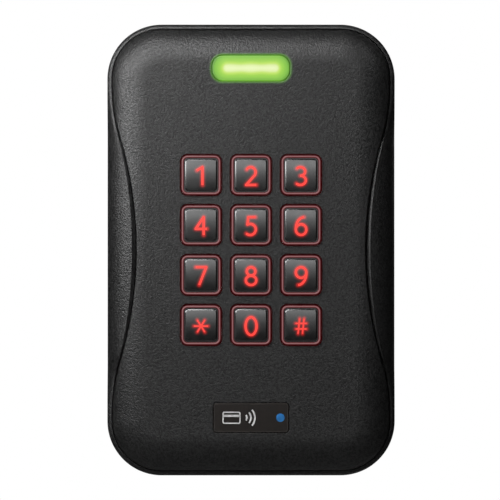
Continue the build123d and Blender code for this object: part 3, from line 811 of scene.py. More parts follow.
@dataclass
class Keypad:
    """Places of the twelve keys and the sizes that every key shares."""

    pitch: float = 14.3
    columns: int = 3
    rows: int = 4
    size: float = 11.3
    corner: float = 1.8
    gap: float = 0.25
    face: float = 24.4
    rim_front: float = 24.0
    rim_width: float = 0.72
    cap_size: float = 9.3
    cap_corner: float = 1.15
    cap_edge: float = 0.42
    cap_step: float = 0.24
    cap_foot: float = 1.5
    crown: float = 0.32
    crown_across: float = 0.35
    crown_up: float = 0.65
    skirt_gap: float = 0.04
    rear: float = 21.4
    glow_reach: float = 0.8
    glow_fall: float = 1.4
    rim_height: float = 3.2
    rim_round: float = 0.34
    lit_depth: float = 1.4
    legend_shift: float = -0.3
    legend_proud: float = 0.02
    legend_thick: float = 0.12
    rim_material: Material = field(init=False)
    cap_material: Material = field(init=False)
    legend_material: Material = field(init=False)

    def __post_init__(self) -> None:
        """Makes the three finishes that every key shares."""
        self.rim_material = RIM.material()
        self.cap_material = CAP.material()
        self.legend_material = LEGEND.material()

    def place(self, symbol: Symbol) -> Point:
        """Middle of one key."""
        number = list(Symbol).index(symbol)
        x = (number % self.columns - (self.columns - 1) / 2) * self.pitch
        z = ((self.rows - 1) / 2 - number // self.columns) * self.pitch
        return x, z

    def build(self) -> None:
        """Builds every key: rim, cap and legend."""
        for symbol in Symbol:
            body = f"key_{symbol.value}"
            rim = self.rim(symbol)
            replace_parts(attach(rim, body), f"key_body_{symbol.value}")
            cap = self.cap(symbol)
            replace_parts(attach(cap, body), f"key_cap_{symbol.value}")
            legend = self.legend(symbol)
            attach(legend, body)
            LOG.info("key %s at %s", symbol.value, self.place(symbol))

    def crown_drop(self, flat: np.ndarray, centre: Point) -> np.ndarray:
        """How far the cap's crowned face lies below its middle."""
        local = (flat - np.array(centre)) / (self.cap_size / 2)
        return self.crown * (
            self.crown_across * local[:, 0] ** 2 + self.crown_up * local[:, 1] ** 2
        )

    def crown_tilt(self, flat: np.ndarray, centre: Point) -> np.ndarray:
        """Normals of the cap's crowned face."""
        half = self.cap_size / 2
        local = (flat - np.array(centre)) / half
        normal = np.stack(
            [
                2 * self.crown * self.crown_across * local[:, 0] / half,
                np.ones(len(flat)),
                2 * self.crown * self.crown_up * local[:, 1] / half,
            ],
            1,
        )
        return normal / np.linalg.norm(normal, axis=1, keepdims=True)

    def cap(self, symbol: Symbol) -> Piece:
        """Builds one glossy cap, which glows round its legend."""
        centre = self.place(symbol)
        middle = np.array(centre) + (0, self.legend_shift)
        strokes = [line + middle for line in Glyph(symbol).lines()]
        half_stroke = Glyph(symbol).width() / 2

        def glow(flat: np.ndarray, drop: float) -> np.ndarray:
            """Glow on the cap: strongest beside the legend and soon gone."""
            near = np.min([distance_to(flat, line, False) for line in strokes], 0)
            left = np.clip(1 - (near - half_stroke) / self.glow_reach, 0, 1)
            return left**self.glow_fall * (1 - drop)

        def surface(flat: np.ndarray) -> np.ndarray:
            """Depth of the crowned face."""
            return self.face - self.crown_drop(flat, centre)

        def tilt(flat: np.ndarray) -> np.ndarray:
            """Normals of the crowned face."""
            return self.crown_tilt(flat, centre)

        shell = Shell(f"cap_{symbol.value}")
        wall = rounded_loop(self.cap_size, self.cap_size, self.cap_corner, centre, 7)
        rings = shell.rolled_edge(
            wall, self.cap_edge, soft_profile(), surface, tilt, value=glow
        )
        points = grid(self.cap_size, self.cap_size, self.cap_step, centre)
        shell.patch(rings[0], [], points, surface, tilt, glow, 0.1)
        foot = self.rim_front - self.cap_foot
        skirt_size = self.size - 2 * self.rim_width - self.skirt_gap
        skirt = rounded_loop(skirt_size, skirt_size, self.corner - self.rim_width, centre, 7)
        rings.append(shell.rise(wall, foot + 0.08))
        rings.append(shell.rest(wall, foot, 1))
        rings.append(shell.rest(skirt, foot, 1))
        rings.append(shell.rise(skirt, self.rear))
        shell.loops(rings)
        shell.lid(rings[-1], self.rear)
        return shell.build(self.cap_material)

    def rim(self, symbol: Symbol) -> Piece:
        """Runs the rim's section round one key with Geometry Nodes."""
        tree = RimTree().tree(self.rim_material)
        name = f"rim_{symbol.value}"
        piece = placed(name, bpy.data.meshes.new(name))
        x, z = self.place(symbol)
        section = self.rim_width
        values = {
            "Span": (self.size - section) * MM,
            "Corner": (self.corner - section / 2) * MM,
            "Section Width": section * MM,
            "Section Height": self.rim_height * MM,
            "Section Round": self.rim_round * MM,
            "Place": (x * MM, -(self.rim_front - self.rim_height / 2) * MM, z * MM),
            # The rim's glow rises towards its front crest: red backlight lower down, and a painted
            # highlight at the crest.
            "Lit From": (self.rim_front - self.lit_depth) * MM,
            "Lit To": self.rim_front * MM,
        }
        return baked(piece, tree, values)

    def legend(self, symbol: Symbol) -> Piece:
        """Builds one legend as a thin inlay that follows the cap's crown."""
        centre = self.place(symbol)
        flat, faces = [], []
        for outline in Glyph(symbol).outlines():
            first = len(flat)
            flat += [tuple(point + np.array(centre) + (0, self.legend_shift)) for point in outline]
            faces.append(list(range(first, first + len(outline))))
        found = delaunay_2d_cdt(flat, [], faces, 0, 1e-5)
        corners = np.array([tuple(v) for v in found[0]])
        triangles = [t for t, source in zip(found[2], found[5]) if source]
        shell = Shell(f"legend_{symbol.value}")
        top = self.face - self.crown_drop(corners, centre) + self.legend_proud
        over = shell.add(corners, top, self.crown_tilt(corners, centre), 1.0)
        under = shell.add(corners, top - self.legend_thick, facing(-1)(corners), 0.0)
        sides: Dict[Tuple[int, int], int] = {}
        for triangle in triangles:
            shell.faces.append(tuple(int(over[v]) for v in triangle))
            shell.faces.append(tuple(int(under[v]) for v in reversed(triangle)))
            for a, b in zip(triangle, (*triangle[1:], triangle[0])):
                sides[(a, b)] = sides.get((a, b), 0) + 1
        for a, b in sides:
            if (b, a) not in sides:
                shell.faces.append((int(over[b]), int(over[a]), int(under[a]), int(under[b])))
        return shell.build(self.legend_material)


class Glyph:
    """Legend strokes of one key, drawn about its middle."""

    stroke = 0.68
    half_width = 1.5
    half_height = 2.55

    def __init__(self, symbol: Symbol) -> None:
        """Keeps the key whose legend is drawn."""
        self.symbol = symbol

    @staticmethod
    def arc(
        centre: Point, rx: float, rz: float, start: float, sweep: float
    ) -> np.ndarray:
        """Points along an ellipse's arc, in degrees counter-clockwise from the right."""
        steps = max(4, int(abs(sweep) / 9))
        turns = np.radians(start + sweep * np.arange(steps + 1) / steps)
        return np.stack([centre[0] + rx * np.cos(turns), centre[1] + rz * np.sin(turns)], 1)

    def lines(self) -> List[np.ndarray]:
        """Centre lines of the strokes."""
        a, b = self.half_width, self.half_height
        arc = self.arc
        if self.symbol is Symbol.ONE:
            return [np.array([(-0.78 * a, 0.62 * b), (0.28 * a, b), (0.28 * a, -b)])]
        if self.symbol is Symbol.TWO:
            bow = arc((-0.05 * a, 0.42 * b), 0.92 * a, 0.58 * b, 150, -185)
            return [np.concatenate([bow, [(-0.95 * a, -b), (a, -b)]])]
        if self.symbol is Symbol.THREE:
            over = arc((-0.12 * a, 0.52 * b), 0.9 * a, 0.48 * b, 140, -230)
            under = arc((-0.15 * a, -0.48 * b), 1.05 * a, 0.52 * b, 90, -225)
            return [over, under]
        if self.symbol is Symbol.FOUR:
            frame = [(0.5 * a, -b), (0.5 * a, b), (-1.02 * a, -0.32 * b), (1.12 * a, -0.32 * b)]
            return [np.array(frame)]
        if self.symbol is Symbol.FIVE:
            bowl = arc((-0.18 * a, -0.38 * b), 1.08 * a, 0.62 * b, 118, -250)
            return [np.concatenate([[(0.85 * a, b), (-0.52 * a, b)], bowl])]
        if self.symbol is Symbol.SIX:
            stem = arc((0.62 * a, -0.3 * b), 1.62 * a, 1.3 * b, 180, -88)
            return [arc((0, -0.4 * b), a, 0.6 * b, 0, 360), stem]
        if self.symbol is Symbol.SEVEN:
            return [np.array([(-a, b), (a, b), (-0.35 * a, -b)])]
        if self.symbol is Symbol.EIGHT:
            return [
                arc((0, 0.53 * b), 0.82 * a, 0.47 * b, 0, 360),
                arc((0, -0.48 * b), a, 0.52 * b, 0, 360),
            ]
        if self.symbol is Symbol.NINE:
            stem = arc((-0.62 * a, 0.3 * b), 1.62 * a, 1.3 * b, 0, -88)
            return [arc((0, 0.4 * b), a, 0.6 * b, 0, 360), stem]
        if self.symbol is Symbol.ZERO:
            return [arc((0, 0), 1.05 * a, b, 0, 360)]
        if self.symbol is Symbol.STAR:
            arm = 0.8 * b
            turns = [math.radians(t) for t in (0, 58, 122)]
            ends = [np.array([math.cos(t), math.sin(t)]) * arm for t in turns]
            return [np.array([-end, end]) for end in ends]
        lean = 0.16 * a
        upright = [
            np.array([(side - lean, -0.86 * b), (side + lean, 0.86 * b)])
            for side in (-0.42 * a, 0.42 * a)
        ]
        across = [np.array([(-1.05 * a, z), (1.05 * a, z)]) for z in (-0.32 * b, 0.3 * b)]
        return upright + across

    @staticmethod
    def divided(line: np.ndarray, step: float = 0.55) -> np.ndarray:
        """Adds points along a line so that no run of it is longer than a step."""
        points = [line[:1]]
        for start, end in zip(line, line[1:]):
            parts = max(1, math.ceil(float(np.linalg.norm(end - start)) / step))
            shares = np.arange(1, parts + 1)[:, None] / parts
            points.append(start + (end - start) * shares)
        return np.concatenate(points)

    def width(self) -> float:
        """Stroke of this legend: the crossed signs are drawn thinner."""
        return self.stroke * (0.66 if self.symbol in (Symbol.STAR, Symbol.HASH) else 1.0)

    def outlines(self) -> List[np.ndarray]:
        """Cuts the strokes into convex outlines that overlap at every bend."""
        half = self.width() / 2
        shapes = []
        for line in self.lines():
            line = self.divided(line)
            closed = np.allclose(line[0], line[-1])
            count = len(line) - 1
            for number in range(count):
                start, end = line[number], line[number + 1]
                along = (end - start) / np.linalg.norm(end - start)
                across = np.array([-along[1], along[0]]) * half
                shapes.append(
                    np.array([start - across, end - across, end + across, start + across])
                )
                if number or closed:
                    shapes.append(circle_loop(half, tuple(start), 20))
        return shapes


class RimTree:
    """Geometry Nodes that run a rounded section round a rounded square facing the front."""

    inputs = (
        ("Span", "NodeSocketFloat", 0.01),
        ("Corner", "NodeSocketFloat", 0.0015),
        ("Section Width", "NodeSocketFloat", 0.0007),
        ("Section Height", "NodeSocketFloat", 0.003),
        ("Section Round", "NodeSocketFloat", 0.0003),
        ("Place", "NodeSocketVector", (0.0, 0.0, 0.0)),
        ("Lit From", "NodeSocketFloat", 0.0225),
        ("Lit To", "NodeSocketFloat", 0.024),
    )
    corner_steps = 8
    section_steps = 4

    def tree(self, material: Material) -> bpy.types.NodeTree:
        """Builds the tree, or returns the one already built."""
        if "key_rim_path" in bpy.data.node_groups:
            return bpy.data.node_groups["key_rim_path"]
        tree = bpy.data.node_groups.new("key_rim_path", "GeometryNodeTree")
        tree.interface.new_socket("Geometry", in_out="OUTPUT", socket_type="NodeSocketGeometry")
        for name, kind, default in self.inputs:
            socket = tree.interface.new_socket(name, in_out="INPUT", socket_type=kind)
            socket.default_value = default
        new, link = tree.nodes.new, tree.links.new
        given = new("NodeGroupInput").outputs
        path = new("GeometryNodeCurvePrimitiveQuadrilateral")
        section = new("GeometryNodeCurvePrimitiveQuadrilateral")
        rounded, eased = new("GeometryNodeFilletCurve"), new("GeometryNodeFilletCurve")
        for node, count in ((rounded, self.corner_steps), (eased, self.section_steps)):
            node.mode = "POLY"
            node.inputs["Count"].default_value = count
        run, turn = new("GeometryNodeCurveToMesh"), new("GeometryNodeTransform")
        turn.inputs["Rotation"].default_value = (math.pi / 2, 0, 0)
        place, split = new("GeometryNodeInputPosition"), new("ShaderNodeSeparateXYZ")
        front, lit = new("ShaderNodeMath"), new("ShaderNodeMapRange")
        front.operation = "MULTIPLY"
        front.inputs[1].default_value = -1.0
        # Glow by depth, brightest at the front, where it carries the rim's painted crest
        # highlight.
        keep = new("GeometryNodeStoreNamedAttribute")
        keep.inputs["Name"].default_value = "glow"
        smooth, real = new("GeometryNodeSetShadeSmooth"), new("GeometryNodeRealizeInstances")
        dress = new("GeometryNodeSetMaterial")
        dress.inputs["Material"].default_value = material
        for source, target in (
            (given["Span"], path.inputs["Width"]),
            (given["Span"], path.inputs["Height"]),
            (given["Section Width"], section.inputs["Width"]),
            (given["Section Height"], section.inputs["Height"]),
            (path.outputs["Curve"], rounded.inputs["Curve"]),
            (given["Corner"], rounded.inputs["Radius"]),
            (section.outputs["Curve"], eased.inputs["Curve"]),
            (given["Section Round"], eased.inputs["Radius"]),
            (rounded.outputs["Curve"], run.inputs["Curve"]),
            (eased.outputs["Curve"], run.inputs["Profile Curve"]),
            (run.outputs["Mesh"], turn.inputs["Geometry"]),
            (given["Place"], turn.inputs["Translation"]),
            (place.outputs["Position"], split.inputs["Vector"]),
            (split.outputs["Y"], front.inputs[0]),
            (front.outputs["Value"], lit.inputs["Value"]),
            (given["Lit From"], lit.inputs["From Min"]),
            (given["Lit To"], lit.inputs["From Max"]),
            (turn.outputs["Geometry"], keep.inputs["Geometry"]),
            (lit.outputs["Result"], keep.inputs["Value"]),
            (keep.outputs["Geometry"], smooth.inputs["Geometry"]),
            (smooth.outputs["Geometry"], real.inputs["Geometry"]),
            (real.outputs["Geometry"], dress.inputs["Geometry"]),
            (dress.outputs["Geometry"], new("NodeGroupOutput").inputs["Geometry"]),
        ):
            link(source, target)
        return tree


def baked(piece: Piece, tree: bpy.types.NodeTree, values: Dict[str, object]) -> Piece:
    """Runs a tree on a piece, with its inputs by name, and keeps the result as plain mesh."""
    modifier = piece.modifiers.new("shape", "NODES")
    modifier.node_group = tree
    for item in tree.interface.items_tree:
        if item.in_out == "INPUT" and item.name in values:
            modifier[item.identifier] = values[item.name]
    depsgraph = bpy.context.evaluated_depsgraph_get()
    mesh = bpy.data.meshes.new_from_object(
        piece.evaluated_get(depsgraph), preserve_all_data_layers=True, depsgraph=depsgraph
    )
    piece.modifiers.clear()
    old = piece.data
    piece.data = mesh
    mesh.name = piece.name
    bpy.data.meshes.remove(old)
    return piece


@dataclass
class FrontCover:
    """Waisted, domed cover with its key openings, light opening and badge recess."""

    keypad: Keypad
    skin: float = 2.0
    skirt: float = 1.8
    rear: float = 15.0
    edge: float = 0.35
    opening_edge: float = 0.3
    light_width: float = 22.5
    light_height: float = 7.7
    light_corner: float = 3.15
    light_z: float = LIGHT_Z
    badge_width: float = 21.8
    badge_height: float = 8.8
    badge_corner: float = 1.05
    badge_z: float = BADGE_Z
    badge_sink: float = 0.3
    light_edge: float = 0.2
    light_rib: float = 0.4
    badge_edge: float = 0.12
    halo_near: float = 0.4
    halo_far: float = 0.9
    halo_far_share: float = 0.12
    key_ring: float = 0.5
    roll_steps: int = 18
    flat_span: Point = (66.0, 112.0)
    flat_step: float = 2.6
    light_rings: Tuple[float, ...] = (0.35, 0.75, 1.25, 1.9, 2.7)

    def build(self) -> None:
        """Builds and dresses the cover."""
        shell = Shell("front_cover_skin")
        light = rounded_loop(
            self.light_width, self.light_height, self.light_corner, (0, self.light_z), 10
        )

        def halo(flat: np.ndarray, drop: float) -> np.ndarray:
            """Green light spilt on the cover round the status light, 1 at its opening."""
            away = distance_to(flat, light)
            far = self.halo_far_share * np.clip(1 - away / self.halo_far, 0, 1)
            return far + (1 - self.halo_far_share) * np.clip(1 - away / self.halo_near, 0, 1)

        def red(flat: np.ndarray, drop: float) -> np.ndarray:
            """Red light of a key on its opening's edge, -1 at the wall."""
            return np.full(len(flat), -drop)

        wall = FORM.waist_loop()
        rings = shell.domed_edge(wall, self.edge, 6)
        holes, floors = [], []
        for symbol in Symbol:
            span = self.keypad.size + 2 * self.keypad.gap
            loop = rounded_loop(
                span, span, self.keypad.corner + self.keypad.gap, self.keypad.place(symbol), 7
            )
            opening = shell.domed_edge(loop, self.opening_edge, 4, True, red)
            floor = FORM.front - self.skin
            opening.append(shell.add(loop, floor, sideways(loop, -1), -1.0))
            shell.loops(opening)
            holes.append(opening[0])
            floors.append(opening[-1])
        opening = shell.domed_edge(light, self.light_edge, 3, True, halo)
        opening.append(shell.rise(light, FORM.front - self.skin - self.light_rib, -1))
        shell.loops(opening)
        holes.append(opening[0])
        floors.append(opening[-1])
        badge = rounded_loop(
            self.badge_width, self.badge_height, self.badge_corner, (0, self.badge_z), 4
        )
        recess = shell.domed_edge(badge, self.badge_edge, 3, True)
        floor = FORM.front - self.badge_sink
        recess.append(shell.rise(badge, floor, -1))
        shell.loops(recess)
        shell.lid(recess[-1], floor, 1)
        holes.append(recess[0])
        shell.patch(rings[0], holes, self.front_points(), FORM.depth, FORM.tilt, halo, 0.22)
        inner_wall = FORM.waist_loop(-self.skirt)
        rings.append(shell.rise(wall, self.rear))
        rings.append(shell.rise(inner_wall, self.rear, -1))
        rings.append(shell.rise(inner_wall, self.inner_depth(inner_wall), -1))
        shell.loops(rings)
        shell.patch(
            rings[-1], floors, grid(80, 126, 4.0, (0, 0)), self.inner_depth, facing(-1), None, 1.0
        )
        piece = shell.build(COVER.material())
        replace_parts(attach(piece, "reader"), "front_cover")
        LOG.info("front cover: %d faces", len(piece.data.polygons))

    def inner_depth(self, flat: np.ndarray) -> np.ndarray:
        """Depth of the cover's inner face, one skin behind the front."""
        return FORM.depth(flat) - self.skin

    def front_points(self) -> np.ndarray:
        """Points wanted on the front: rings along the roll-off, a grid on the flat, and a
        fine band round the status light."""
        rows = [grid(*self.flat_span, self.flat_step, (0, 0))]
        for step in range(1, self.roll_steps + 1):
            turn = math.pi / 2 * (1 - step / self.roll_steps)
            inset = FORM.roll_width * (1 - math.sin(turn))
            loop = FORM.body_loop(-inset)
            rows.append(loop[:: 2 if step % 2 else 1])
        for inset in self.light_rings:
            rows.append(
                rounded_loop(
                    self.light_width + 2 * inset,
                    self.light_height + 2 * inset,
                    self.light_corner + inset,
                    (0, self.light_z),
                    12,
                )
            )
            straight = np.arange(-8, 8.1, 1.0)
            for side in (-1, 1):
                level_z = self.light_z + side * (self.light_height / 2 + inset)
                rows.append(np.stack([straight, np.full(len(straight), level_z)], 1))
        span = self.keypad.size + 2 * (self.keypad.gap + self.key_ring)
        for symbol in Symbol:
            rows.append(rounded_loop(span, span, 2.4, self.keypad.place(symbol), 3))
        return np.concatenate(rows)


@dataclass
class Housing:
    """Rounded shell: wings beside the waist, side walls and the rear edge."""

    gap: float = 0.15
    edge: float = 0.2
    waist_edge: float = 1.3
    bead: float = 18.0
    bead_drop: float = 0.75
    bead_width: float = 1.15
    blend_width: float = 3.0
    wing: np.ndarray = field(init=False)
    run: np.ndarray = field(init=False)
    side_wall: float = 2.2
    rear: float = 0.6
    rear_edge: float = 0.15
    ledge: float = 14.5
    ledge_width: float = 3.2
    ledge_thick: float = 1.8
    seat_inset: float = 4.2
    seat: float = 9.8
    lip: float = 0.2
    bottom_reach: float = 18.0
    pilot: float = 1.0
    bore: float = 2.6
    bore_edge: float = 0.12
    bore_depth: float = 3.6
    bore_sink: float = 2.0

    def build(self) -> None:
        """Builds and dresses the housing."""
        shell = Shell("housing_skin")
        inner = FORM.waist_loop(self.gap)
        body = FORM.body_loop()
        span = np.linalg.norm(body - inner, axis=1)
        self.wing = np.clip((span - FORM.rim) / self.blend_width, 0, 1)
        self.wing = self.wing**2 * (3 - 2 * self.wing)
        sizes = self.edge + (self.waist_edge - self.edge) * self.swell(inner)
        start = inner + outward(inner) * sizes[:, None]
        self.run = np.linalg.norm(body - start, axis=1)
        rows = [start + (body - start) * share for share in self.shares()]
        depths = [self.front(flat, share) for flat, share in zip(rows, self.shares())]
        tilts = self.row_normals(rows, depths)
        groove = shell.rolled_edge(
            inner,
            sizes,
            bevel_profile(),
            lambda flat: self.front(flat, 0.0),
            lambda flat: tilts[0],
            True,
        )
        wings = [groove[0]]
        for flat, depth, tilt in zip(rows[1:], depths[1:], tilts[1:]):
            wings.append(shell.add(flat, depth, tilt))
        shell.loops(wings)
        groove.append(shell.rise(inner, self.ledge, -1))
        step_in = FORM.waist_loop(-self.ledge_width)
        groove.append(shell.rest(step_in, self.ledge, 1))
        groove.append(shell.rise(step_in, self.ledge - self.ledge_thick, -1))
        seat = FORM.body_loop(-self.seat_inset)
        groove.append(shell.rest(seat, self.ledge - self.ledge_thick))
        groove.append(shell.rise(seat, self.seat, -1))
        cavity = FORM.body_loop(-self.side_wall)
        groove.append(shell.rest(cavity, self.seat))
        groove.append(shell.rise(cavity, self.rear + self.lip, -1))
        lip = FORM.body_loop(-self.side_wall + self.lip)
        groove.append(shell.rest(lip, self.rear))
        foot = FORM.body_loop(-self.rear_edge)
        groove.append(shell.rest(foot, self.rear))
        for turn in (30, 60, 90):
            out = math.sin(math.radians(turn))
            rise = self.rear_edge * (1 - math.cos(math.radians(turn)))
            loop = FORM.body_loop(self.rear_edge * (out - 1))
            tilt = sideways(loop) * out - facing()(loop) * math.cos(math.radians(turn))
            groove.append(shell.add(loop, self.rear + rise, tilt))
        shell.loops(groove)
        self.side(shell, body, wings[-1], groove[-1])
        piece = shell.build(SHELL.material())
        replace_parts(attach(piece, "reader"), "housing")
        LOG.info("housing: %d faces", len(piece.data.polygons))

    @staticmethod
    def shares() -> List[float]:
        """Shares of the way from the groove's bevel to the side wall."""
        return [1 - (1 - step / 16) ** 1.7 for step in range(17)]

    def front(self, flat: np.ndarray, share: float) -> np.ndarray:
        """Depth of the front: a bead at the corners that becomes the domed wing."""
        way = share * self.run / self.bead_width
        bead = self.bead - self.bead_drop * (np.minimum(way, 1) ** 2 + 2 * np.maximum(way - 1, 0))
        return FORM.depth(flat) * self.wing + bead * (1 - self.wing)

    @staticmethod
    def row_normals(rows: List[np.ndarray], depths: List[np.ndarray]) -> List[np.ndarray]:
        """Normals of a band of matching loops, given from the inside out with depths."""
        grid_points = np.stack(
            [np.stack([flat[:, 0], deep, flat[:, 1]], 1) for flat, deep in zip(rows, depths)]
        )
        across = np.gradient(grid_points, axis=0)
        along = np.roll(grid_points, -1, 1) - np.roll(grid_points, 1, 1)
        normal = np.cross(across, along)
        normal /= np.maximum(np.linalg.norm(normal, axis=2, keepdims=True), 1e-12)
        return list(normal * np.sign(normal[..., 1].mean()))

    def swell(self, loop: np.ndarray) -> np.ndarray:
        """Share by which the groove's bevel has widened, 1 at the waist and 0 at the ends."""
        share = np.clip(1 - np.abs(loop[:, 1]) / FORM.reach, 0, 1)
        near_side = np.abs(loop[:, 0]) > FORM.width / 4
        return np.where(near_side, share * share * (3 - 2 * share), 0.0)

    def side(
        self, shell: Shell, body: np.ndarray, upper: np.ndarray, lower: np.ndarray
    ) -> None:
        """Adds the side wall, with the security screw's bore in its bottom run.

        Args:
            shell: the skin being gathered.
            body: the wall's line.
            upper: numbers of the loop at the wall's front.
            lower: numbers of the loop at its rear.
        """
        low = -FORM.height / 2
        on_bottom = (np.abs(body[:, 1] - low) < 1e-6) & (np.abs(body[:, 0]) < self.bottom_reach)
        count = len(body)
        run = [i for i in range(count) if on_bottom[i]]
        for i in range(count):
            j = (i + 1) % count
            if not (on_bottom[i] and on_bottom[j]):
                shell.faces.append((int(upper[i]), int(upper[j]), int(lower[j]), int(lower[i])))
        run.sort(key=lambda i: body[i, 0])
        points = np.concatenate(shell.points)
        frame = [int(lower[i]) for i in run] + [int(upper[i]) for i in reversed(run)]
        down = np.array([0.0, 0.0, -1.0])
        rings = []
        for radius, height, normal in (
            (self.bore + self.bore_edge, low, down),
            (self.bore + 0.03, low + 0.03, None),
            (self.bore, low + self.bore_edge, None),
            (self.bore, low + self.bore_sink, None),
            (self.pilot, low + self.bore_sink, down),
        ):
            circle = circle_loop(radius, (0, self.bore_depth), 40)
            spin = (circle - np.array([0, self.bore_depth])) / radius
            inward = np.stack([-spin[:, 0], -spin[:, 1], np.zeros(len(circle))], 1)
            rings.append(
                shell.add(
                    np.stack([circle[:, 0], np.full(len(circle), height)], 1),
                    circle[:, 1],
                    inward if normal is None else np.tile(normal, (len(circle), 1)),
                )
            )
        shell.loops(rings)
        shell.faces.append(tuple(int(v) for v in rings[-1]))
        border = points[frame][:, [0, 1]]
        hole = circle_loop(self.bore + self.bore_edge, (0, self.bore_depth), 40)
        flat = np.concatenate([border, hole])
        numbers = np.concatenate([frame, rings[0]])
        for triangle in triangles_between(flat, [border, hole]):
            shell.faces.append(tuple(int(numbers[v]) for v in triangle))


@dataclass
class StatusLight:
    """Green lens that follows the cover's front, brightest along its middle."""

    width: float = 22.2
    height: float = 7.4
    corner: float = 3.0
    z: float = LIGHT_Z
    core_half: float = 6.9
    led_pitch: float = 6.0
    glow_reach: float = 4.3
    edge: float = 0.3
    grid_step: float = 0.4
    rear: float = 19.2

    def build(self) -> None:
        """Builds and dresses the lens."""
        shell = Shell("status_lens_skin")
        wall = rounded_loop(self.width, self.height, self.corner, (0, self.z), 10)
        core = np.array([(-self.core_half, self.z), (self.core_half, self.z)])

        def glow(flat: np.ndarray, drop: float) -> np.ndarray:
            """Glow of the lens: full along the core and falling to the edge."""
            near = distance_to(flat, core, False)
            spots = 0.02 * np.cos(2 * math.pi * flat[:, 0] / self.led_pitch) * (near < 2)
            return np.clip(1 - near / self.glow_reach + spots, 0, 1) * (1 - 0.1 * drop)

        rings = shell.domed_edge(wall, self.edge, 4, value=glow)
        points = grid(self.width, self.height, self.grid_step, (0, self.z))
        shell.patch(rings[0], [], points, FORM.depth, FORM.tilt, glow, 0.15)
        rings.append(shell.rise(wall, self.rear))
        shell.loops(rings)
        shell.lid(rings[-1], self.rear)
        piece = shell.build(LENS.material())
        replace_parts(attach(piece, "reader"), "status_lens")
        LOG.info("status light: %d faces", len(piece.data.polygons))


@dataclass
class Badge:
    """Dark film label with a plain card, three arcs and a blue spot."""

    width: float = 21.5
    height: float = 8.5
    corner: float = 0.9
    z: float = BADGE_Z
    rear: float = 22.72
    front: float = 23.1
    border_inset: float = 0.25
    card_x: float = -5.6
    wave_x: float = -2.4
    wave_first: float = 1.2
    wave_pitch: float = 1.15
    wave_half: float = 0.24
    spot_x: float = 8.4
    spot_radius: float = 1.2

    def build(self) -> None:
        """Builds the film, its border line, the card, the arcs and the spot."""
        film = self.slab(
            "badge_film_skin",
            rounded_loop(self.width, self.height, self.corner, (0, self.z), 5),
            self.rear,
            self.front,
            BADGE.material(),
        )
        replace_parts(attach(film, "reader"), "badge")
        print_material = PRINT.material()
        width, height = self.width - 2 * self.border_inset, self.height - 2 * self.border_inset
        border = self.band("badge_border", (0, self.z), width, height, 0.7, 0.1)
        border.data.materials.append(BORDER.material())
        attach(border, "reader")
        marks = [
            self.band("badge_card", (self.card_x, self.z), 5.2, 3.5, 0.6, 0.36),
            self.band("badge_card_strip", (self.card_x, self.z + 0.55), 4.7, 0.62, 0.1, 0.3),
        ]
        for number in range(3):
            marks.append(self.wave(number))
        for mark in marks:
            mark.data.materials.append(print_material)
            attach(mark, "reader")
        spot = self.slab(
            "badge_spot",
            circle_loop(self.spot_radius, (self.spot_x, self.z), 36),
            self.front - 0.1,
            self.front + 0.02,
            SPOT.material(),
        )
        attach(spot, "reader")
        LOG.info("badge at z %.1f mm", self.z)

    def slab(
        self,
        name: str,
        wall: np.ndarray,
        rear: float,
        front: float,
        material: Material,
    ) -> Piece:
        """Builds a thin flat piece with a softened front edge."""
        shell = Shell(name)
        edge = min(0.08, (front - rear) * 0.3)
        rings = shell.rolled_edge(wall, edge, edge_profile(3), level(front), facing())
        shell.lid(rings[0], front, 1)
        rings.append(shell.rise(wall, rear))
        shell.loops(rings)
        shell.lid(rings[-1], rear)
        return shell.build(material)

    def band(
        self,
        name: str,
        centre: Point,
        width: float,
        height: float,
        corner: float,
        line: float,
    ) -> Piece:
        """Builds a thin printed line round a rounded rectangle."""
        outer = rounded_loop(width, height, corner, centre, 5)
        inner_corner = max(corner - line, 0.01)
        inner = rounded_loop(width - 2 * line, height - 2 * line, inner_corner, centre, 5)
        return self.ribbon(name, outer, inner, True)

    def wave(self, number: int) -> Piece:
        """Builds one of the three arcs beside the card."""
        radius = self.wave_first + self.wave_pitch * number
        turns = np.radians(np.linspace(-40, 40, 15))
        middle = np.array([self.wave_x, self.z])
        line = np.stack([np.cos(turns), np.sin(turns)], 1)
        outer = middle + line * (radius + self.wave_half)
        inner = middle + line * (radius - self.wave_half)
        return self.ribbon(f"badge_wave_{number}", outer, inner, False)

    def ribbon(
        self, name: str, outer: np.ndarray, inner: np.ndarray, closed: bool
    ) -> Piece:
        """Builds a printed ribbon between two lines of points, as a closed thin solid."""
        mesh = bpy.data.meshes.new(name)
        count = len(outer)
        rows = []
        for depth in (self.front - 0.06, self.front + 0.015):
            for line in (outer, inner):
                rows += [(x * MM, -depth * MM, z * MM) for x, z in line]
        faces = []
        last = count if closed else count - 1
        for i in range(last):
            j = (i + 1) % count
            a, b, c, d = (k * count for k in range(4))
            faces += [
                (c + i, c + j, d + j, d + i),
                (a + i, b + i, b + j, a + j),
                (a + i, a + j, c + j, c + i),
                (b + i, d + i, d + j, b + j),
            ]
        if not closed:
            for i in (0, count - 1):
                faces.append((i, count + i, 3 * count + i, 2 * count + i))
        mesh.from_pydata(rows, [], faces)
        settle(mesh)
        return placed(name, mesh)


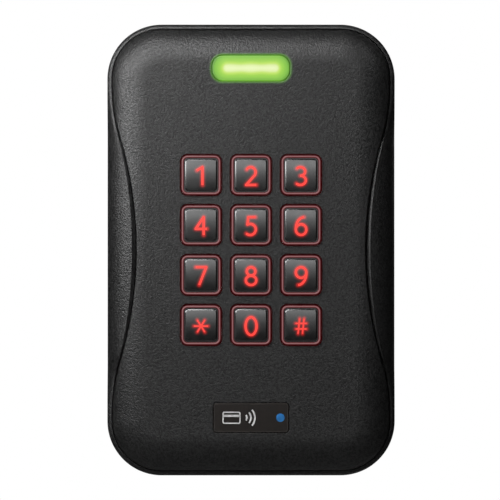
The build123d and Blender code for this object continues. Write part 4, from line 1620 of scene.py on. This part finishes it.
@dataclass
class SecurityScrew:
    """Security screw under the housing: a domed head with a hexagon and a pin."""

    head: float = 2.4
    shank: float = 1.5
    seat_z: float = -62.8
    depth: float = 3.6
    head_height: float = 1.6
    socket: float = 1.12
    socket_depth: float = 1.0
    pin: float = 0.5
    length: float = 8.2
    steps: int = 36

    def build(self) -> None:
        """Turns the screw about its own upright axis."""
        top, foot = -self.head_height, self.socket_depth - self.head_height
        outside = (
            (self.shank - 0.3, self.length),
            (self.shank, self.length - 0.4),
            (self.shank, 0.0),
            (self.head, 0.0),
            (self.head, -0.9),
            (self.head - 0.15, -1.3),
            (self.head - 0.6, -1.55),
            (1.25, top),
        )
        socket = ((self.socket, top), (self.socket, foot))
        pin = ((self.pin, foot), (self.pin, -1.3), (self.pin - 0.08, -1.38))
        shell = Shell("security_screw_turned")
        rings = []
        for line in (outside, socket, pin):
            for radius, height in line:
                rings.append(self.ring(shell, radius, height, line is socket))
        shell.loops(rings)
        shell.faces.append(tuple(int(v) for v in rings[0]))
        shell.faces.append(tuple(int(v) for v in rings[-1]))
        piece = shell.build(Metal("screw_zinc", (0.42, 0.42, 0.43)).material())
        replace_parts(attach(piece, "reader"), "security_screw")
        LOG.info("security screw: %d faces", len(piece.data.polygons))

    def ring(self, shell: Shell, radius: float, height: float, hexagon: bool) -> np.ndarray:
        """Adds one ring of the screw, round or six-sided."""
        steps = self.steps
        turns = np.arange(steps) * 2 * math.pi / steps
        reach = np.full(steps, radius)
        if hexagon:
            reach = radius * math.cos(math.pi / 6) / np.cos((turns % (math.pi / 3)) - math.pi / 6)
        x, y = reach * np.cos(turns), reach * np.sin(turns)
        normal = np.stack([np.cos(turns), np.sin(turns), np.zeros(steps)], 1)
        if height <= -1.2:
            normal = normal * 0.4 - np.array([0, 0, 0.9])
        flat = np.stack([x, np.full(steps, self.seat_z + height)], 1)
        return shell.add(flat, self.depth + y, normal / np.linalg.norm(normal, axis=1)[:, None])


class InnerParts:
    """CAD pieces that keep their shape and take a finish by their material slot."""

    def build(self, nodes: Dict[str, Piece], record: Dict[str, object]) -> None:
        """Dresses every node that nothing has replaced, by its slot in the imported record."""
        made: Dict[str, Material] = {}
        for part in record["subparts"]:
            name, slot = part["node"], part["material_slot"]
            if nodes[name].hide_render or slot not in INNER:
                continue
            if slot not in made:
                made[slot] = INNER[slot].material()
            nodes[name].data.materials.clear()
            nodes[name].data.materials.append(made[slot])
            LOG.info("%s keeps its shape with finish %s", name, slot)


# ---- Studio ------------------------------------------------------------------------------


@dataclass
class Studio:
    """Pale floor, soft lights and a long lens square to the reader, in metres and watts.

    Each light has its name, place, width, height and power.
    """

    distance: float = 1.2
    frame_width: float = 0.14405
    floor_drop: float = 0.42
    floor_half: float = 1.4
    key_depth: float = 0.015
    camera_x: float = -0.0003
    lights: Tuple[Tuple[str, Tuple[float, float, float], float, float, float], ...] = (
        ("side_soft", (-0.647, -0.374, 0.065), 0.3, 0.4, 0.09),
        ("left_key", (-0.16, -0.14, 0.08), 0.11, 0.11, 0.32),
        ("top_key", (-0.05, -0.17, 0.17), 0.10, 0.08, 0.29),
        ("near_soft", (-0.10, -0.20, 0.05), 0.12, 0.12, 0.065),
        ("front_high", (0.0, -1.1, 0.216), 0.5, 0.2, 0.66),
        ("front_middle", (0.0, -1.1, 0.058), 0.5, 0.116, 0.12),
        ("front_low", (0.0, -1.1, -0.058), 0.5, 0.116, 0.03),
        ("right_spark", (0.13, -0.16, 0.16), 0.05, 0.05, 0.03),
        ("rear_soft", (0.22, 0.42, 0.24), 0.2, 0.2, 1.3),
    )

    def build(self) -> None:
        """Sets the world, the floor, the lights and the camera."""
        bpy.context.scene.view_settings.view_transform = "Standard"
        self.world()
        self.floor()
        for light in self.lights:
            self.light(*light)
        data = bpy.data.cameras.new("camera")
        data.sensor_width = 36.0
        data.lens = data.sensor_width * (self.distance - self.key_depth) / self.frame_width
        data.clip_start, data.clip_end = 0.01, 50.0
        camera = placed("camera", data)
        camera.location = (self.camera_x, -self.distance, 0.0)
        camera.rotation_euler = (math.pi / 2, 0, 0)
        bpy.context.scene.camera = camera
        LOG.info("camera lens %.0f mm", data.lens)

    def world(self) -> None:
        """Pale backdrop for the camera, and a dim even fill for everything else."""
        world = bpy.data.worlds.new("studio")
        bpy.context.scene.world = world
        world.use_nodes = True
        nodes, links = world.node_tree.nodes, world.node_tree.links
        nodes.clear()
        fill, pale = nodes.new("ShaderNodeBackground"), nodes.new("ShaderNodeBackground")
        for node, strength in ((fill, 0.012), (pale, 1.0)):
            node.inputs["Color"].default_value = (1.0, 1.0, 1.0, 1.0)
            node.inputs["Strength"].default_value = strength
        ray, mix = nodes.new("ShaderNodeLightPath"), nodes.new("ShaderNodeMixShader")
        out = nodes.new("ShaderNodeOutputWorld")
        links.new(ray.outputs["Is Camera Ray"], mix.inputs["Fac"])
        links.new(fill.outputs["Background"], mix.inputs[1])
        links.new(pale.outputs["Background"], mix.inputs[2])
        links.new(mix.outputs["Shader"], out.inputs["Surface"])

    def floor(self) -> None:
        """Adds the pale floor below the reader."""
        mesh = bpy.data.meshes.new("floor")
        half = self.floor_half
        corners = ((-half, -half), (half, -half), (half, half), (-half, half))
        mesh.from_pydata([(x, y, -self.floor_drop) for x, y in corners], [], [(0, 1, 2, 3)])
        mesh.materials.append(self.pale())
        placed("floor", mesh)

    @staticmethod
    def pale() -> Material:
        """Pale finish that a lens sees evenly lit, and that throws little light back."""
        bench = Bench("floor_pale")
        cloud = bench.noise(8.0, 3.0)
        ray = bench.nodes.new("ShaderNodeLightPath").outputs["Is Camera Ray"]
        bench.feed(
            Base_Color=bench.ramp(cloud, [(0.35, (0.55, 0.55, 0.55)), (0.65, (0.6, 0.6, 0.6))]),
            Emission_Strength=bench.span(ray, 0.0, 0.85),
        )
        bench.set(Roughness=0.9, Emission_Color=(1.0, 1.0, 1.0, 1.0))
        return bench.material

    def light(
        self, name: str, place: Tuple[float, float, float], width: float, height: float,
        power: float,
    ) -> None:
        """Adds a soft rectangular light that looks at the reader."""
        data = bpy.data.lights.new(name, "AREA")
        data.shape = "RECTANGLE"
        data.size, data.size_y, data.energy = width, height, power
        lamp = placed(name, data)
        lamp.location = place
        lamp.rotation_euler = (-Vector(place)).to_track_quat("-Z", "Y").to_euler()
        lamp.visible_camera = False


def main() -> None:
    """Builds the reader's looks round its frame, piece by piece."""
    logging.basicConfig(level=logging.INFO, format="%(name)s: %(message)s")
    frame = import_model()
    Studio().build()
    keypad = Keypad()
    keypad.build()
    FrontCover(keypad).build()
    Housing().build()
    StatusLight().build()
    Badge().build()
    SecurityScrew().build()
    InnerParts().build(frame["nodes"], frame["record"])


if __name__ == "__main__":
    main()
